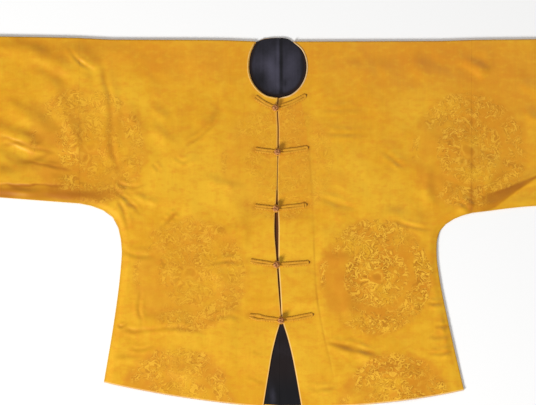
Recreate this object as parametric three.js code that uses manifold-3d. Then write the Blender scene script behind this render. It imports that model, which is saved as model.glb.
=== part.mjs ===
// A magua: a short Chinese riding jacket of figured silk, laid flat on its back with its sleeves
// spread. Millimetres, +X to the right as seen from above, +Y towards the neck, +Z up, with the
// origin in the middle of the footprint, on the surface that the jacket lies on.
//
// The jacket is cut the traditional way. Each half of the body runs from the hem of the back over
// the shoulder to the hem of the front, and reaches out to the sleeve seam; here it is parted along
// the shoulder into a back and a front. A sleeve piece, folded at the shoulder, carries on from
// there to the cuff. The backs meet in a seam, and the fronts in five knotted frogs.
// A place on the cloth is given as x and drop, the distance down from the shoulder line.
import * as THREE from "three";
import { mergeVertices } from "three/addons/utils/BufferGeometryUtils.js";
import Module from "manifold-3d";

const wasm = await Module();
wasm.setup();

// ---- Driving dimensions ----
const CLOTH = 1.5; // silk with its interlining
const LINING = 1.0;
const GAP = 0.3; // between pieces at a seam
const CUFF_X = 700; // half of the span from cuff to cuff
const HEM_DROP = 735; // from the shoulder line to the lowest point of the hem
const SHOULDER_RISE = 7; // how far the left cuff stands above the shoulder line
const SHOULDER_Y = (HEM_DROP - SHOULDER_RISE) / 2;
const BACK_NECK_RISE = 2; // the middle of the back neck stands this far above the shoulder line
const SEAM_Z = CLOTH + GAP; // underside of a front where it is sewn to the back
const FRONT_Z = SEAM_Z + LINING + GAP; // underside of a front that lies on the lining
const FOLD_RADIUS = (FRONT_Z + CLOTH) / 2; // of the outside of the shoulder fold
const EDGE_ROLL = 16; // the front comes down to the back over this distance
const SHOULDER_ROLL = 26; // folds fade out over this distance from the shoulder
const MOST_LIFT = 2.3; // a fold stands no higher than this over the rest of the front
const CUFF_LIFT = { height: 1.6, reach: 60 }; // the mouth of a sleeve stays a little open

// The neck hole is round below its middle and at the upper right, and wider than a circle would be
// at the upper left.
const NECK = { x: 0, drop: 56, halfWidth: 58.5, below: 62.4, aboveLeft: 80, aboveRight: 61 };

// Each half: where its sleeve seam is, how far the hem bows down, its shoulder line, and the edge
// from the cuff along the underarm and down the side to the corner of the hem.
const HALVES = {
  left: {
    side: -1,
    seamX: 396,
    hemBow: 6,
    shoulder: [
      { x: 40, drop: 5 },
      { x: 124, drop: 2 },
      { x: 330, drop: 1 },
      { x: 396, drop: -2 },
      { x: 556, drop: -5 },
      { x: 700, drop: -7 },
    ],
    edge: [
      { x: 700, drop: 306 },
      { x: 556, drop: 317 },
      { x: 396, drop: 329 },
      { x: 352, drop: 341 },
      { x: 325, drop: 362 },
      { x: 312, drop: 410 },
      { x: 314, drop: 466 },
      { x: 326, drop: 560 },
      { x: 347, drop: 686 },
    ],
  },
  right: {
    side: 1,
    seamX: 388,
    hemBow: 9,
    shoulder: [
      { x: 40, drop: 5 },
      { x: 320, drop: 4 },
      { x: 388, drop: 2 },
      { x: 514, drop: 0.5 },
      { x: 700, drop: -3.5 },
    ],
    edge: [
      { x: 700, drop: 328 },
      { x: 514, drop: 334 },
      { x: 388, drop: 348 },
      { x: 344, drop: 365 },
      { x: 323, drop: 387 },
      { x: 318, drop: 424 },
      { x: 324, drop: 480 },
      { x: 344, drop: 578 },
      { x: 373, drop: 702 },
    ],
  },
};
const SEAM_ROW = 2; // the row of an edge table that is at the sleeve seam
const UNDERARM_ROW = 5; // the row where the underarm has turned into the side

// The two front edges meet at the frogs, gape between them and spread below the last one.
const OPENING = [
  { drop: 118.4, left: -0.4, right: 1.6 },
  { drop: 140, left: -1.4, right: 0.4 },
  { drop: 184, left: 0.2, right: 2.0 },
  { drop: 320, left: -2.0, right: 0 },
  { drop: 344, left: -4.6, right: 0.6 },
  { drop: 380, left: -5.6, right: 1.6 },
  { drop: 440, left: -1.4, right: 1.4 },
  { drop: 500, left: 2.4, right: 5.0 },
  { drop: 560, left: 6.6, right: 8.8 },
  { drop: 584, left: 0.5, right: 16 },
  { drop: 616, left: -8, right: 25 },
  { drop: 664, left: -16.5, right: 35 },
  { drop: HEM_DROP, left: -28, right: 47.5 },
];

// The largest folds of the front. width is how far one reaches to each side, height is negative
// for a trough, and each fades out towards both ends.
const FOLDS = [
  { name: "left sleeve top", x0: -520, drop0: 24, x1: -390, drop1: 72, width: 26, height: 2.0 },
  { name: "left shoulder crease", x0: -346, drop0: 20, x1: -314, drop1: 320, width: 24, height: -0.9 },
  { name: "left neck to underarm", x0: -90, drop0: 120, x1: -224, drop1: 260, width: 26, height: 1.4 },
  { name: "left sleeve drag", x0: -690, drop0: 160, x1: -400, drop1: 240, width: 26, height: 1.6 },
  { name: "left waist", x0: -330, drop0: 590, x1: -100, drop1: 600, width: 26, height: 1.5 },
  { name: "right sleeve top", x0: 340, drop0: 34, x1: 460, drop1: 90, width: 26, height: 1.8 },
  { name: "right sleeve pleat", x0: 380, drop0: 320, x1: 700, drop1: 220, width: 28, height: 3.0 },
  { name: "right underarm", x0: 100, drop0: 380, x1: 330, drop1: 392, width: 26, height: 1.5 },
  { name: "right waist", x0: 96, drop0: 628, x1: 250, drop1: 622, width: 26, height: 1.6 },
];
// Broad soft swellings, where air lies between the layers.
const SWELLS = [
  { x: -205, drop: 470, across: 130, down: 170, height: 0.9 },
  { x: 205, drop: 490, across: 130, down: 170, height: 0.9 },
  { x: -220, drop: 150, across: 130, down: 110, height: 0.8 },
  { x: 220, drop: 170, across: 130, down: 110, height: 0.8 },
  { x: -540, drop: 170, across: 130, down: 110, height: 1.1 },
  { x: 540, drop: 150, across: 130, down: 110, height: 1.1 },
];
const CALM = { from: 80, to: 130 }; // the fronts lie flat under the frogs, nearer the middle

// A frog is two straps of cord laid double, from a far end on the cloth to the opening. The left
// one ends in a loop, and the right one in a knot that sits in the loop.
const FROGS = [
  { knotX: -4, knotDrop: 138, leftX: -46, leftDrop: 115, rightX: 56, rightDrop: 114 },
  { knotX: 0, knotDrop: 226, leftX: -46, leftDrop: 221, rightX: 60, rightDrop: 218 },
  { knotX: -3, knotDrop: 339, leftX: -47, leftDrop: 334, rightX: 57, rightDrop: 332 },
  { knotX: -2, knotDrop: 451, leftX: -56, leftDrop: 443, rightX: 62, rightDrop: 447 },
  { knotX: 7, knotDrop: 562, leftX: -58, leftDrop: 553, rightX: 70, rightDrop: 551 },
];
const STRAP = { halfWidth: 5.2, thickness: 3.2, bevel: 0.9, arcSteps: 4 };
const LOOP = { outer: 7.6, inner: 4.7 };
const KNOT = { radius: 5.3, height: 6.4, around: 10, up: 6 };
const NECK_OF_KNOT = { radius: 1.5, reach: 12, startHeight: 3.4 };

const BINDING = { inset: 0.6, width: 3.4, thickness: 1.5, from: 0.1, steps: 14 };
const LINING_INSET = { side: 38, hem: 12 };
const LINING_SEAM_X = 4.5; // the lining's own seam lies a little beside the middle

// Rows of cloth in each stretch down the front and the back, round the fold and down a sleeve, and
// columns across. The back lies flat, so it has fewer.
const FRONT_ROWS = { neck: 6, chest: 7, underarm: 7, side: 9 };
const BACK_ROWS = { neck: 2, chest: 2, underarm: 5, side: 5 };
const FOLD_ROWS = 4;
const SLEEVE_ROWS = { front: 10, back: 3 };
const COLUMNS = { body: 12, backNeck: 3, sleeve: 9 };
const CHEST_START = 0.42; // of the way down the sleeve seam, level with the bottom of the neck
// Down the middle, each stretch from the neck's bottom to the hem.
const MIDDLE_DROPS = {
  chest: { from: OPENING[0].drop, to: 320 },
  underarm: { from: 320, to: 420 },
  side: { from: 420, to: HEM_DROP },
};
// How far round the shoulder fold each piece goes. Back and front stop short of each other.
const HALF_GAP_TURN = GAP / 2 / (Math.PI * (FOLD_RADIUS - CLOTH));
const WHOLE_FOLD = { from: 0, to: 1 };
const BACK_OF_FOLD = { from: 0, to: 0.5 - HALF_GAP_TURN };
const FRONT_OF_FOLD = { from: 0.5 + HALF_GAP_TURN, to: 1 };

const SILK = { color: 0xe2a024, roughness: 0.42, metalness: 0 };
const BINDING_SILK = { color: 0xe9c98c, roughness: 0.5, metalness: 0 };
const CORD_SILK = { color: 0xd9952a, roughness: 0.45, metalness: 0 };
const NAVY = { color: 0x20243a, roughness: 0.7, metalness: 0 };

// ---- Tables and curves ----

// The value of a column where another column has a given value, smooth and never past its rows.
function lookUp(rows, by, at, column) {
  const last = rows.length - 2;
  const found = rows.findIndex((row, k) => k > last || at < rows[k + 1][by]);
  const i = THREE.MathUtils.clamp(found, 0, last);
  const slope = (k) => (rows[k + 1][column] - rows[k][column]) / (rows[k + 1][by] - rows[k][by]);
  const tangent = (k) => {
    if (k === 0) return slope(0);
    if (k > last) return slope(last);
    const [a, b] = [slope(k - 1), slope(k)];
    return a * b > 0 ? (2 * a * b) / (a + b) : 0;
  };
  const span = rows[i + 1][by] - rows[i][by];
  const t = THREE.MathUtils.clamp((at - rows[i][by]) / span, 0, 1);
  const [t2, t3] = [t * t, t * t * t];
  return (
    (2 * t3 - 3 * t2 + 1) * rows[i][column] +
    (t3 - 2 * t2 + t) * span * tangent(i) +
    (3 * t2 - 2 * t3) * rows[i + 1][column] +
    (t3 - t2) * span * tangent(i + 1)
  );
}

const spot = (x, drop) => ({ x, drop });
const mix = (a, b, t) => spot(a.x + (b.x - a.x) * t, a.drop + (b.drop - a.drop) * t);
const range = (n, f) => Array.from({ length: n + 1 }, (_, i) => f(i / n));

function shoulderDrop(half, x) {
  return lookUp(half.shoulder, "x", Math.max(Math.abs(x), half.shoulder[0].x), "drop");
}

const edgeCurves = new Map(
  Object.values(HALVES).map((half) => [
    half,
    new THREE.CatmullRomCurve3(
      half.edge.map((row) => new THREE.Vector3(half.side * row.x, row.drop, 0)),
    ),
  ]),
);

// The place on a half's edge at a row of its table, or between two of them.
function onEdge(half, row) {
  const point = edgeCurves.get(half).getPoint(row / (half.edge.length - 1));
  return spot(point.x, point.y);
}

const EDGE_SAMPLES = 80;
const edgeSamples = new Map(
  Object.values(HALVES).map((half) => [
    half,
    range(EDGE_SAMPLES, (t) => onEdge(half, t * (half.edge.length - 1))),
  ]),
);

function onOpening(half, drop) {
  return spot(lookUp(OPENING, "drop", drop, half.side < 0 ? "left" : "right"), drop);
}

// The front neck edge of a half, from the shoulder fold at t = 0 to the opening at t = 1, moved
// away from the hole by an inset.
function onNeck(half, t, inset = 0) {
  const above = half.side < 0 ? NECK.aboveLeft : NECK.aboveRight;
  const start = -Math.asin((NECK.drop - half.shoulder[0].drop) / above);
  const bottom = onOpening(half, OPENING[0].drop);
  const end = Math.acos((half.side * (bottom.x - NECK.x)) / NECK.halfWidth);
  const angle = start + (end - start) * t;
  const height = (angle < 0 ? above : NECK.below) + inset;
  return spot(
    NECK.x + half.side * (NECK.halfWidth + inset) * Math.cos(angle),
    NECK.drop + height * Math.sin(angle),
  );
}

// ---- The lie of the front ----

// Where a place falls beside the line from a to b: how far along it, 0 to 1, and how far off it.
function besideLine(a, b, x, drop) {
  const [dx, dy] = [b.x - a.x, b.drop - a.drop];
  const raw = ((x - a.x) * dx + (drop - a.drop) * dy) / (dx * dx + dy * dy);
  const along = THREE.MathUtils.clamp(raw, 0, 1);
  return { along, off: Math.hypot(x - a.x - along * dx, drop - a.drop - along * dy) };
}

function foldHeight(fold, x, drop) {
  const from = spot(fold.x0, fold.drop0);
  const { along, off } = besideLine(from, spot(fold.x1, fold.drop1), x, drop);
  return fold.height * Math.sqrt(Math.sin(Math.PI * along)) * Math.exp(-((off / fold.width) ** 2));
}

function distanceToEdge(half, x, drop) {
  const points = edgeSamples.get(half);
  const distances = points.slice(1).map((to, i) => besideLine(points[i], to, x, drop).off);
  return Math.min(...distances);
}

// Height of the underside of a front over the surface that the jacket lies on.
function frontZ(half, x, drop) {
  const smooth = THREE.MathUtils.smoothstep;
  const fromCuff = CUFF_X - Math.abs(x);
  let lift = CUFF_LIFT.height * Math.exp(-((fromCuff / CUFF_LIFT.reach) ** 2));
  for (const swell of SWELLS) {
    const off = Math.hypot((x - swell.x) / swell.across, (drop - swell.drop) / swell.down);
    lift += swell.height * Math.exp(-off * off);
  }
  for (const fold of FOLDS) lift += foldHeight(fold, x, drop);
  lift = MOST_LIFT * Math.tanh(Math.max(lift, 0) / MOST_LIFT);
  lift *= smooth(Math.abs(x), CALM.from, CALM.to);
  lift *= smooth(drop - shoulderDrop(half, x), FOLD_RADIUS, SHOULDER_ROLL);
  const inside = smooth(distanceToEdge(half, x, drop), 0, EDGE_ROLL);
  return SEAM_Z + (FRONT_Z - SEAM_Z + lift) * inside;
}

// ---- Walls of cloth ----

const place = (x, drop, z) => new THREE.Vector3(x, SHOULDER_Y - drop, z);

// A sheet is gathered from patches. Each of its corners has a place on both faces of the cloth,
// and corners at one place are one corner, so patches that meet are joined.
class Sheet {
  constructor(half) {
    this.half = half;
    this.corners = [];
    this.faces = [];
    this.index = new Map();
  }

  corner({ outer, inner }) {
    const key = [...outer.toArray(), ...inner.toArray()].map((v) => v.toFixed(3)).join();
    if (!this.index.has(key)) this.index.set(key, this.corners.push({ outer, inner }) - 1);
    return this.index.get(key);
  }

  // Adds a patch from rows of corners, each running from the jacket's middle outwards. The rows
  // go over the shoulder from the back to the front.
  patch(rows) {
    const outwards = rows.map((row) => row.map((corner) => this.corner(corner)));
    const grid = this.half.side < 0 ? outwards : outwards.map((row) => row.reverse());
    for (let r = 0; r + 1 < grid.length; r++)
      for (let c = 0; c + 1 < grid[r].length; c++) {
        const [a, b, d, e] = [grid[r][c], grid[r][c + 1], grid[r + 1][c + 1], grid[r + 1][c]];
        this.faces.push([a, b, d], [a, d, e]);
      }
    return this;
  }

  // The closed wall: the outer face, the inner face turned round, and the rim between them.
  geometry() {
    const count = this.corners.length;
    const places = [
      ...this.corners.map((corner) => corner.outer),
      ...this.corners.map((corner) => corner.inner),
    ];
    const triangles = [];
    const rim = new Map();
    for (const [a, b, c] of this.faces) {
      triangles.push(a, b, c, a + count, c + count, b + count);
      for (const [from, to] of [
        [a, b],
        [b, c],
        [c, a],
      ])
        if (!rim.delete(to + "," + from)) rim.set(from + "," + to, [from, to]);
    }
    for (const [from, to] of rim.values())
      triangles.push(to, from, from + count, to, from + count, to + count);
    return new THREE.BufferGeometry()
      .setAttribute(
        "position",
        new THREE.Float32BufferAttribute(places.map((v) => v.toArray()).flat(), 3),
      )
      .setIndex(triangles);
  }
}

function frontCorner(half, { x, drop }) {
  const z = frontZ(half, x, drop);
  return { outer: place(x, drop, z + CLOTH), inner: place(x, drop, z) };
}

// The outside of the back is its underside.
function backCorner({ x, drop }) {
  return { outer: place(x, drop, 0), inner: place(x, drop, CLOTH) };
}

// Rows of corners round the shoulder fold, from one turn to another, between two x. The turn is 0
// at the back and 1 at the front.
function shoulderFold(half, columns, x, turns) {
  return range(Math.round(FOLD_ROWS * (turns.to - turns.from)), (t) => {
    const angle = Math.PI * (turns.from + (turns.to - turns.from) * t - 0.5);
    return range(columns, (s) => {
      const atX = x.from + (x.to - x.from) * s;
      const at = (radius) =>
        place(
          atX,
          shoulderDrop(half, atX) + FOLD_RADIUS - radius * Math.cos(angle),
          FOLD_RADIUS + radius * Math.sin(angle),
        );
      return { outer: at(FOLD_RADIUS), inner: at(FOLD_RADIUS - CLOTH) };
    });
  });
}

// ---- Pieces ----

// The outline of a half's hem from the middle, at s = 0, to its corner.
function onHem(half, innerX, s) {
  const at = mix(spot(innerX, HEM_DROP), onEdge(half, half.edge.length - 1), s);
  return spot(at.x, at.drop + 4 * half.hemBow * s * (1 - s));
}

// Rows of places across a half, down to the hem. Each runs from its inner edge, which is given
// for every stretch, to the sleeve seam, the underarm and the side. The first row is left to the
// shoulder fold, and how far the last one bows down fades in from the underarm.
function placesDown(half, columns, rows, inner) {
  const seamX = half.side * (half.seamX - GAP / 2);
  const seamTop = shoulderDrop(half, seamX) + FOLD_RADIUS;
  const onSeam = (t) => mix(spot(seamX, seamTop), spot(seamX, half.edge[SEAM_ROW].drop), t);
  const lastRow = half.edge.length - 1;
  const outer = {
    neck: (t) => onSeam(CHEST_START * t),
    chest: (t) => onSeam(CHEST_START + (1 - CHEST_START) * t),
    underarm: (t) => onEdge(half, SEAM_ROW + (UNDERARM_ROW - SEAM_ROW) * t),
    side: (t) => onEdge(half, UNDERARM_ROW + (lastRow - UNDERARM_ROW) * t),
  };
  return Object.keys(outer).flatMap((stretch) =>
    range(rows[stretch], (t) => {
      const bow = stretch === "side" ? half.hemBow * t : 0;
      return range(columns, (s) => {
        const at = mix(inner[stretch](t), outer[stretch](t), s);
        return spot(at.x, at.drop + 4 * bow * s * (1 - s));
      });
    }).slice(1),
  );
}

// Half of the back, up to the top of the shoulder fold.
function backHalf(half) {
  const seamX = half.side * (half.seamX - GAP / 2);
  const middleX = (half.side * GAP) / 2;
  const neckStart = onNeck(half, 0).x;
  const fold = shoulderFold(half, COLUMNS.body, { from: neckStart, to: seamX }, BACK_OF_FOLD);
  const neck = backNeckRow(half, middleX, neckStart).map(backCorner);
  const middle = ({ from, to }) => (t) => spot(middleX, from + (to - from) * t);
  const down = placesDown(half, COLUMNS.backNeck + COLUMNS.body, BACK_ROWS, {
    neck: middle({ from: 0, to: MIDDLE_DROPS.chest.from }),
    chest: middle(MIDDLE_DROPS.chest),
    underarm: middle(MIDDLE_DROPS.underarm),
    side: middle(MIDDLE_DROPS.side),
  });
  return new Sheet(half)
    .patch([...down.reverse().map((row) => row.map(backCorner)), [...neck, ...fold[0]]])
    .patch(fold)
    .geometry();
}

// Half of the front, down from the top of the shoulder fold.
function frontHalf(half) {
  const seamX = half.side * (half.seamX - GAP / 2);
  const neckStart = onNeck(half, 0).x;
  const fold = shoulderFold(half, COLUMNS.body, { from: neckStart, to: seamX }, FRONT_OF_FOLD);
  const opening = ({ from, to }) => (t) => onOpening(half, from + (to - from) * t);
  const down = placesDown(half, COLUMNS.body, FRONT_ROWS, {
    neck: (t) => onNeck(half, t),
    chest: opening(MIDDLE_DROPS.chest),
    underarm: opening(MIDDLE_DROPS.underarm),
    side: opening(MIDDLE_DROPS.side),
  });
  return new Sheet(half)
    .patch([...fold, ...down.map((row) => row.map((at) => frontCorner(half, at)))])
    .geometry();
}

// Places along the back neck edge, from the middle to just short of the shoulder fold.
function backNeckRow(half, middleX, neckStart) {
  const end = shoulderDrop(half, neckStart) + FOLD_RADIUS;
  return range(COLUMNS.backNeck, (s) => {
    const x = middleX + (neckStart - middleX) * s;
    return spot(x, end - (BACK_NECK_RISE + end) * (1 - s ** 3));
  }).slice(0, -1);
}

// A sleeve, folded at the shoulder, with its own seam along the underarm.
function sleeve(half) {
  const lower = half.edge.slice(0, SEAM_ROW + 1).reverse();
  const seamX = half.side * (half.seamX + GAP / 2);
  const x = { from: seamX, to: half.side * CUFF_X };
  const fold = shoulderFold(half, COLUMNS.sleeve, x, WHOLE_FOLD);
  const placesAcross = (rows) =>
    range(rows, (t) =>
      range(COLUMNS.sleeve, (s) => {
        const atX = x.from + (x.to - x.from) * s;
        const top = shoulderDrop(half, atX) + FOLD_RADIUS;
        const bottom = lookUp(lower, "x", Math.abs(atX), "drop");
        return spot(atX, top + (bottom - top) * t);
      }),
    ).slice(1);
  const back = placesAcross(SLEEVE_ROWS.back).reverse();
  const front = placesAcross(SLEEVE_ROWS.front);
  return new Sheet(half)
    .patch([...back.map((row) => row.map(backCorner)), fold[0]])
    .patch(fold)
    .patch([fold.at(-1), ...front.map((row) => row.map((at) => frontCorner(half, at)))])
    .geometry();
}

// The lining of half of the back, a flat piece that stops short of the side and of the hem.
function lining(half) {
  const innerX = LINING_SEAM_X + (half.side * GAP) / 2;
  const neckStart = onNeck(half, 0).x;
  const limitX = half.side * (half.seamX - LINING_INSET.side);
  const top = [
    ...backNeckRow(half, innerX, neckStart),
    ...range(COLUMNS.body, (s) => {
      const x = neckStart + (limitX - neckStart) * s;
      return spot(x, shoulderDrop(half, x) + FOLD_RADIUS + GAP);
    }),
  ];
  const curve = edgeCurves.get(half);
  const rows = range(COLUMNS.body, (t) => SEAM_ROW + 1 + (half.edge.length - 2 - SEAM_ROW) * t);
  const outer = rows.map((row) => {
    const t = row / (half.edge.length - 1);
    const [point, tangent] = [curve.getPoint(t), curve.getTangent(t)];
    return spot(
      point.x - half.side * tangent.y * LINING_INSET.side,
      point.y + half.side * tangent.x * LINING_INSET.side,
    );
  });
  const corner = outer.pop();
  const hem = range(COLUMNS.body, (s) => {
    const at = onHem(half, innerX, 1 - s);
    const x = Math.min(Math.abs(at.x), Math.abs(corner.x)) * Math.sign(at.x);
    return spot(x, at.drop - LINING_INSET.hem);
  });
  const outline = [...top, ...outer, ...hem].map((at) => {
    const point = place(at.x, at.drop, 0);
    return new THREE.Vector2(point.x, point.y);
  });
  const shape = new THREE.Shape(outline);
  return new THREE.ExtrudeGeometry(shape, { depth: LINING, bevelEnabled: false });
}

// The narrow edging of a half's neck, a flat band with a rounded top that lies on the front.
function neckBinding(half) {
  const { inset, width, thickness, from, steps } = BINDING;
  const base = FRONT_Z + CLOTH + GAP;
  const section = [
    { off: inset, up: 0 },
    { off: inset + width, up: 0 },
    { off: inset + width, up: thickness / 2 },
    { off: inset + width / 2, up: thickness },
    { off: inset, up: thickness / 2 },
  ];
  const rings = range(steps, (s) => {
    const t = from + (1 - from) * s;
    return section.map(({ off, up }) => {
      const at = onNeck(half, t, off);
      return place(at.x, at.drop, base + up);
    });
  });
  return closedTube(half.side < 0 ? rings.reverse() : rings);
}

// A closed solid through rings of points that go the same way round, with flat ends.
function closedTube(rings) {
  const size = rings[0].length;
  const triangles = [];
  for (let r = 0; r + 1 < rings.length; r++)
    for (let k = 0; k < size; k++) {
      const [a, b] = [r * size + k, r * size + ((k + 1) % size)];
      triangles.push(a, b, b + size, a, b + size, a + size);
    }
  const end = (rings.length - 1) * size;
  for (let k = 1; k + 1 < size; k++) triangles.push(0, k + 1, k, end, end + k, end + k + 1);
  return new THREE.BufferGeometry()
    .setAttribute(
      "position",
      new THREE.Float32BufferAttribute(rings.flat().map((v) => v.toArray()).flat(), 3),
    )
    .setIndex(triangles);
}

// ---- Frogs ----

function extrudedStrap(shape) {
  const { thickness, bevel, arcSteps } = STRAP;
  const flat = { depth: thickness - 2 * bevel, curveSegments: arcSteps };
  const rounded = { bevelThickness: bevel, bevelSize: bevel, bevelOffset: -bevel, bevelSegments: 1 };
  return new THREE.ExtrudeGeometry(shape, { ...flat, ...rounded }).translate(0, 0, bevel);
}

// A strap that ends in the loop, along +X from its far end at the origin to the loop's middle.
function loopStrap(length) {
  const w = STRAP.halfWidth;
  const turn = Math.asin(w / LOOP.outer);
  const shape = new THREE.Shape();
  shape.absarc(w, 0, w, Math.PI / 2, (3 * Math.PI) / 2, false);
  shape.absarc(length, 0, LOOP.outer, -Math.PI + turn, Math.PI - turn, false);
  shape.closePath();
  shape.holes.push(new THREE.Path().absarc(length, 0, LOOP.inner, 0, 2 * Math.PI, true));
  return extrudedStrap(shape);
}

function toManifold(geometry) {
  const bare = geometry.clone();
  bare.deleteAttribute("normal");
  bare.deleteAttribute("uv");
  const merged = mergeVertices(bare, 1e-4);
  const vertProperties = new Float32Array(merged.attributes.position.array);
  const triVerts = new Uint32Array(merged.index.array);
  return new wasm.Manifold(new wasm.Mesh({ numProp: 3, vertProperties, triVerts }));
}

function fromManifold(solid) {
  const mesh = solid.getMesh();
  return new THREE.BufferGeometry()
    .setAttribute("position", new THREE.Float32BufferAttribute(mesh.vertProperties, 3))
    .setIndex([...mesh.triVerts]);
}

// A strap that ends in the knot, along +X from its far end at the origin to the knot's middle.
// Its flat part stops short of the loop, and the knot's neck passes over the loop to the knot.
function knotStrap(length) {
  const w = STRAP.halfWidth;
  const flatEnd = length - LOOP.outer - GAP;
  const shape = new THREE.Shape();
  shape.absarc(w, 0, w, Math.PI / 2, (3 * Math.PI) / 2, false);
  shape.absarc(flatEnd - w, 0, w, -Math.PI / 2, Math.PI / 2, false);
  shape.closePath();
  const ball = new THREE.SphereGeometry(KNOT.radius, KNOT.around, KNOT.up)
    .rotateX(Math.PI / 2)
    .translate(length, 0, KNOT.height);
  const start = new THREE.Vector3(length - NECK_OF_KNOT.reach, 0, NECK_OF_KNOT.startHeight);
  const end = new THREE.Vector3(length, 0, KNOT.height + NECK_OF_KNOT.radius);
  const reach = end.clone().sub(start);
  const neck = new THREE.CylinderGeometry(
    NECK_OF_KNOT.radius,
    NECK_OF_KNOT.radius,
    reach.length(),
    6,
  )
    .rotateZ(-Math.PI / 2)
    .rotateY(-Math.atan2(reach.z, reach.x))
    .translate((start.x + end.x) / 2, 0, (start.z + end.z) / 2);
  return fromManifold(
    toManifold(extrudedStrap(shape)).add(toManifold(ball)).add(toManifold(neck)),
  );
}

// ---- The jacket ----

const group = new THREE.Group();

function addPiece(name, geometry, material) {
  const mesh = new THREE.Mesh(geometry, new THREE.MeshStandardMaterial(material));
  mesh.name = name;
  group.add(mesh);
  return mesh;
}

for (const [name, half] of Object.entries(HALVES)) {
  addPiece("back_" + name, backHalf(half), SILK);
  addPiece("front_" + name, frontHalf(half), SILK);
  addPiece("sleeve_" + name, sleeve(half), SILK);
  addPiece("lining_" + name, lining(half), NAVY).position.z = SEAM_Z;
  addPiece("neck_binding_" + name, neckBinding(half), BINDING_SILK);
}

// Lays a strap on the front, from its far end to the knot.
function laidStrap(name, makeStrap, far, knot) {
  const from = place(far.x, far.drop, FRONT_Z + CLOTH + GAP);
  const reach = place(knot.x, knot.drop, from.z).sub(from);
  const strap = addPiece(name, makeStrap(reach.length()), CORD_SILK);
  strap.position.copy(from);
  strap.rotation.z = Math.atan2(reach.y, reach.x);
}

FROGS.forEach((frog, i) => {
  const knot = spot(frog.knotX, frog.knotDrop);
  const name = "frog_" + (i + 1);
  laidStrap(name + "_loop", loopStrap, spot(frog.leftX, frog.leftDrop), knot);
  laidStrap(name + "_knot", knotStrap, spot(frog.rightX, frog.rightDrop), knot);
});

export default group;
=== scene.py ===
"""The looks of a magua, a short riding jacket of golden figured silk, laid flat on its back.

Lengths are in metres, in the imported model's own frame. A table of places on the cloth is in
millimetres, with x and y along the frame's axes, and MM turns it into metres.
"""

import functools
import logging
import math
from dataclasses import dataclass
from enum import Enum

import bpy
import numpy as np
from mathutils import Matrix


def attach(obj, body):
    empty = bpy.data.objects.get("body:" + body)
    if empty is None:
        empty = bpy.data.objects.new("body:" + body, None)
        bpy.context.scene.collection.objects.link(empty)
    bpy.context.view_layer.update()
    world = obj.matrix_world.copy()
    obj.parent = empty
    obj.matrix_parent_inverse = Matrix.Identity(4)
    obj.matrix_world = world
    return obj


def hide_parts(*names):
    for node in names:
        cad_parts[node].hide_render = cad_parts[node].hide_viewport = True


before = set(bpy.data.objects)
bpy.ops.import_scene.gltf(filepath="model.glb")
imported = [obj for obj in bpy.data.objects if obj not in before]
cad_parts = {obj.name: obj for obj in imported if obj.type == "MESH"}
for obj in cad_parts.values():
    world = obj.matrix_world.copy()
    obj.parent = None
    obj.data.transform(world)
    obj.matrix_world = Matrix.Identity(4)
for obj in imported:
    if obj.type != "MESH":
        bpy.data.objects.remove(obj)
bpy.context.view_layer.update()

Piece = bpy.types.Object
Material = bpy.types.Material
Tree = bpy.types.NodeTree
Node = bpy.types.Node
Socket = bpy.types.NodeSocket
Array = np.ndarray
Place = tuple[float, float]
Patch = tuple[float, float, float, float, float]
Color = tuple[float, float, float, float]

MM = 0.001
CLOTH = 1.4 * MM
FOLD_RADIUS = 2.3 * MM
"""The outside of the shoulder fold, which is half as high as the jacket lies."""
FOLD_PAST = 0.67 * MM
"""How far the shoulder fold reaches past the top edge of the front's outline."""
CUFF = 0.7
"""How far each cuff is from the jacket's middle."""
HEM_BAND = -0.25
"""The points of an outline whose y is below this are near the hem."""
ON_FRONT = 2 * MM
"""The cloth above this height is the front, and below it the back."""
AT_FOLD = 1.5 * MM
# How near to the side's painted shade the fold at the shoulder counts.
"""How near to the side's tone the fold at the shoulder counts."""
FAR = 0.1
"""Stands for the distance of a place that is near no free edge."""
COARSE = 4
"""The inner face of the cloth has one square for this many along the outer face, each way."""
ROOT = "root"
CUT = "cut"
"""The name of the UV maps, which hold places on the flat cloth in metres."""

log = logging.getLogger("magua")


class Side(Enum):
    """The two halves of the jacket, with the way that each reaches out along X."""

    LEFT = -1
    RIGHT = 1

    def node(self, part: str) -> str:
        """Returns the name of this side's node of a part."""
        return f"{part}_{self.name.lower()}"

    def piece(self, part: str) -> str:
        """Returns the name of this side's finished piece."""
        return f"{self.name.lower()}_{part}"


# ---- Curves and distances ----


def lengths_along(points: Array) -> Array:
    """Returns how far each point of a polyline is from its start, from 0 to 1."""
    steps = np.linalg.norm(np.diff(points, axis=0), axis=1)
    total = np.concatenate([[0.0], np.cumsum(steps)])
    return total / total[-1]


def smoothed(points: Array, per_span: int = 12) -> Array:
    """Rounds a polyline with a curve through its points.

    Args:
        points: The polyline, one point a row.
        per_span: How many steps the curve takes between two of them.

    Returns:
        The points of the curve, ends included.
    """
    p = np.vstack([[2 * points[0] - points[1]], points, [2 * points[-1] - points[-2]]])
    t = np.linspace(0, 1, per_span, endpoint=False)[:, None]
    spans = []
    for a, b, c, d in zip(p[:-3], p[1:-2], p[2:-1], p[3:]):
        square, cube = 2 * a - 5 * b + 4 * c - d, 3 * b - a - 3 * c + d
        spans.append(b + 0.5 * ((c - a) * t + square * t**2 + cube * t**3))
    return np.vstack([*spans, points[-1:]])


def sampled(points: Array, fractions: Array) -> Array:
    """Returns the places at given fractions of a polyline's length."""
    along = lengths_along(points)
    return np.stack([np.interp(fractions, along, column) for column in points.T], axis=-1)


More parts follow.
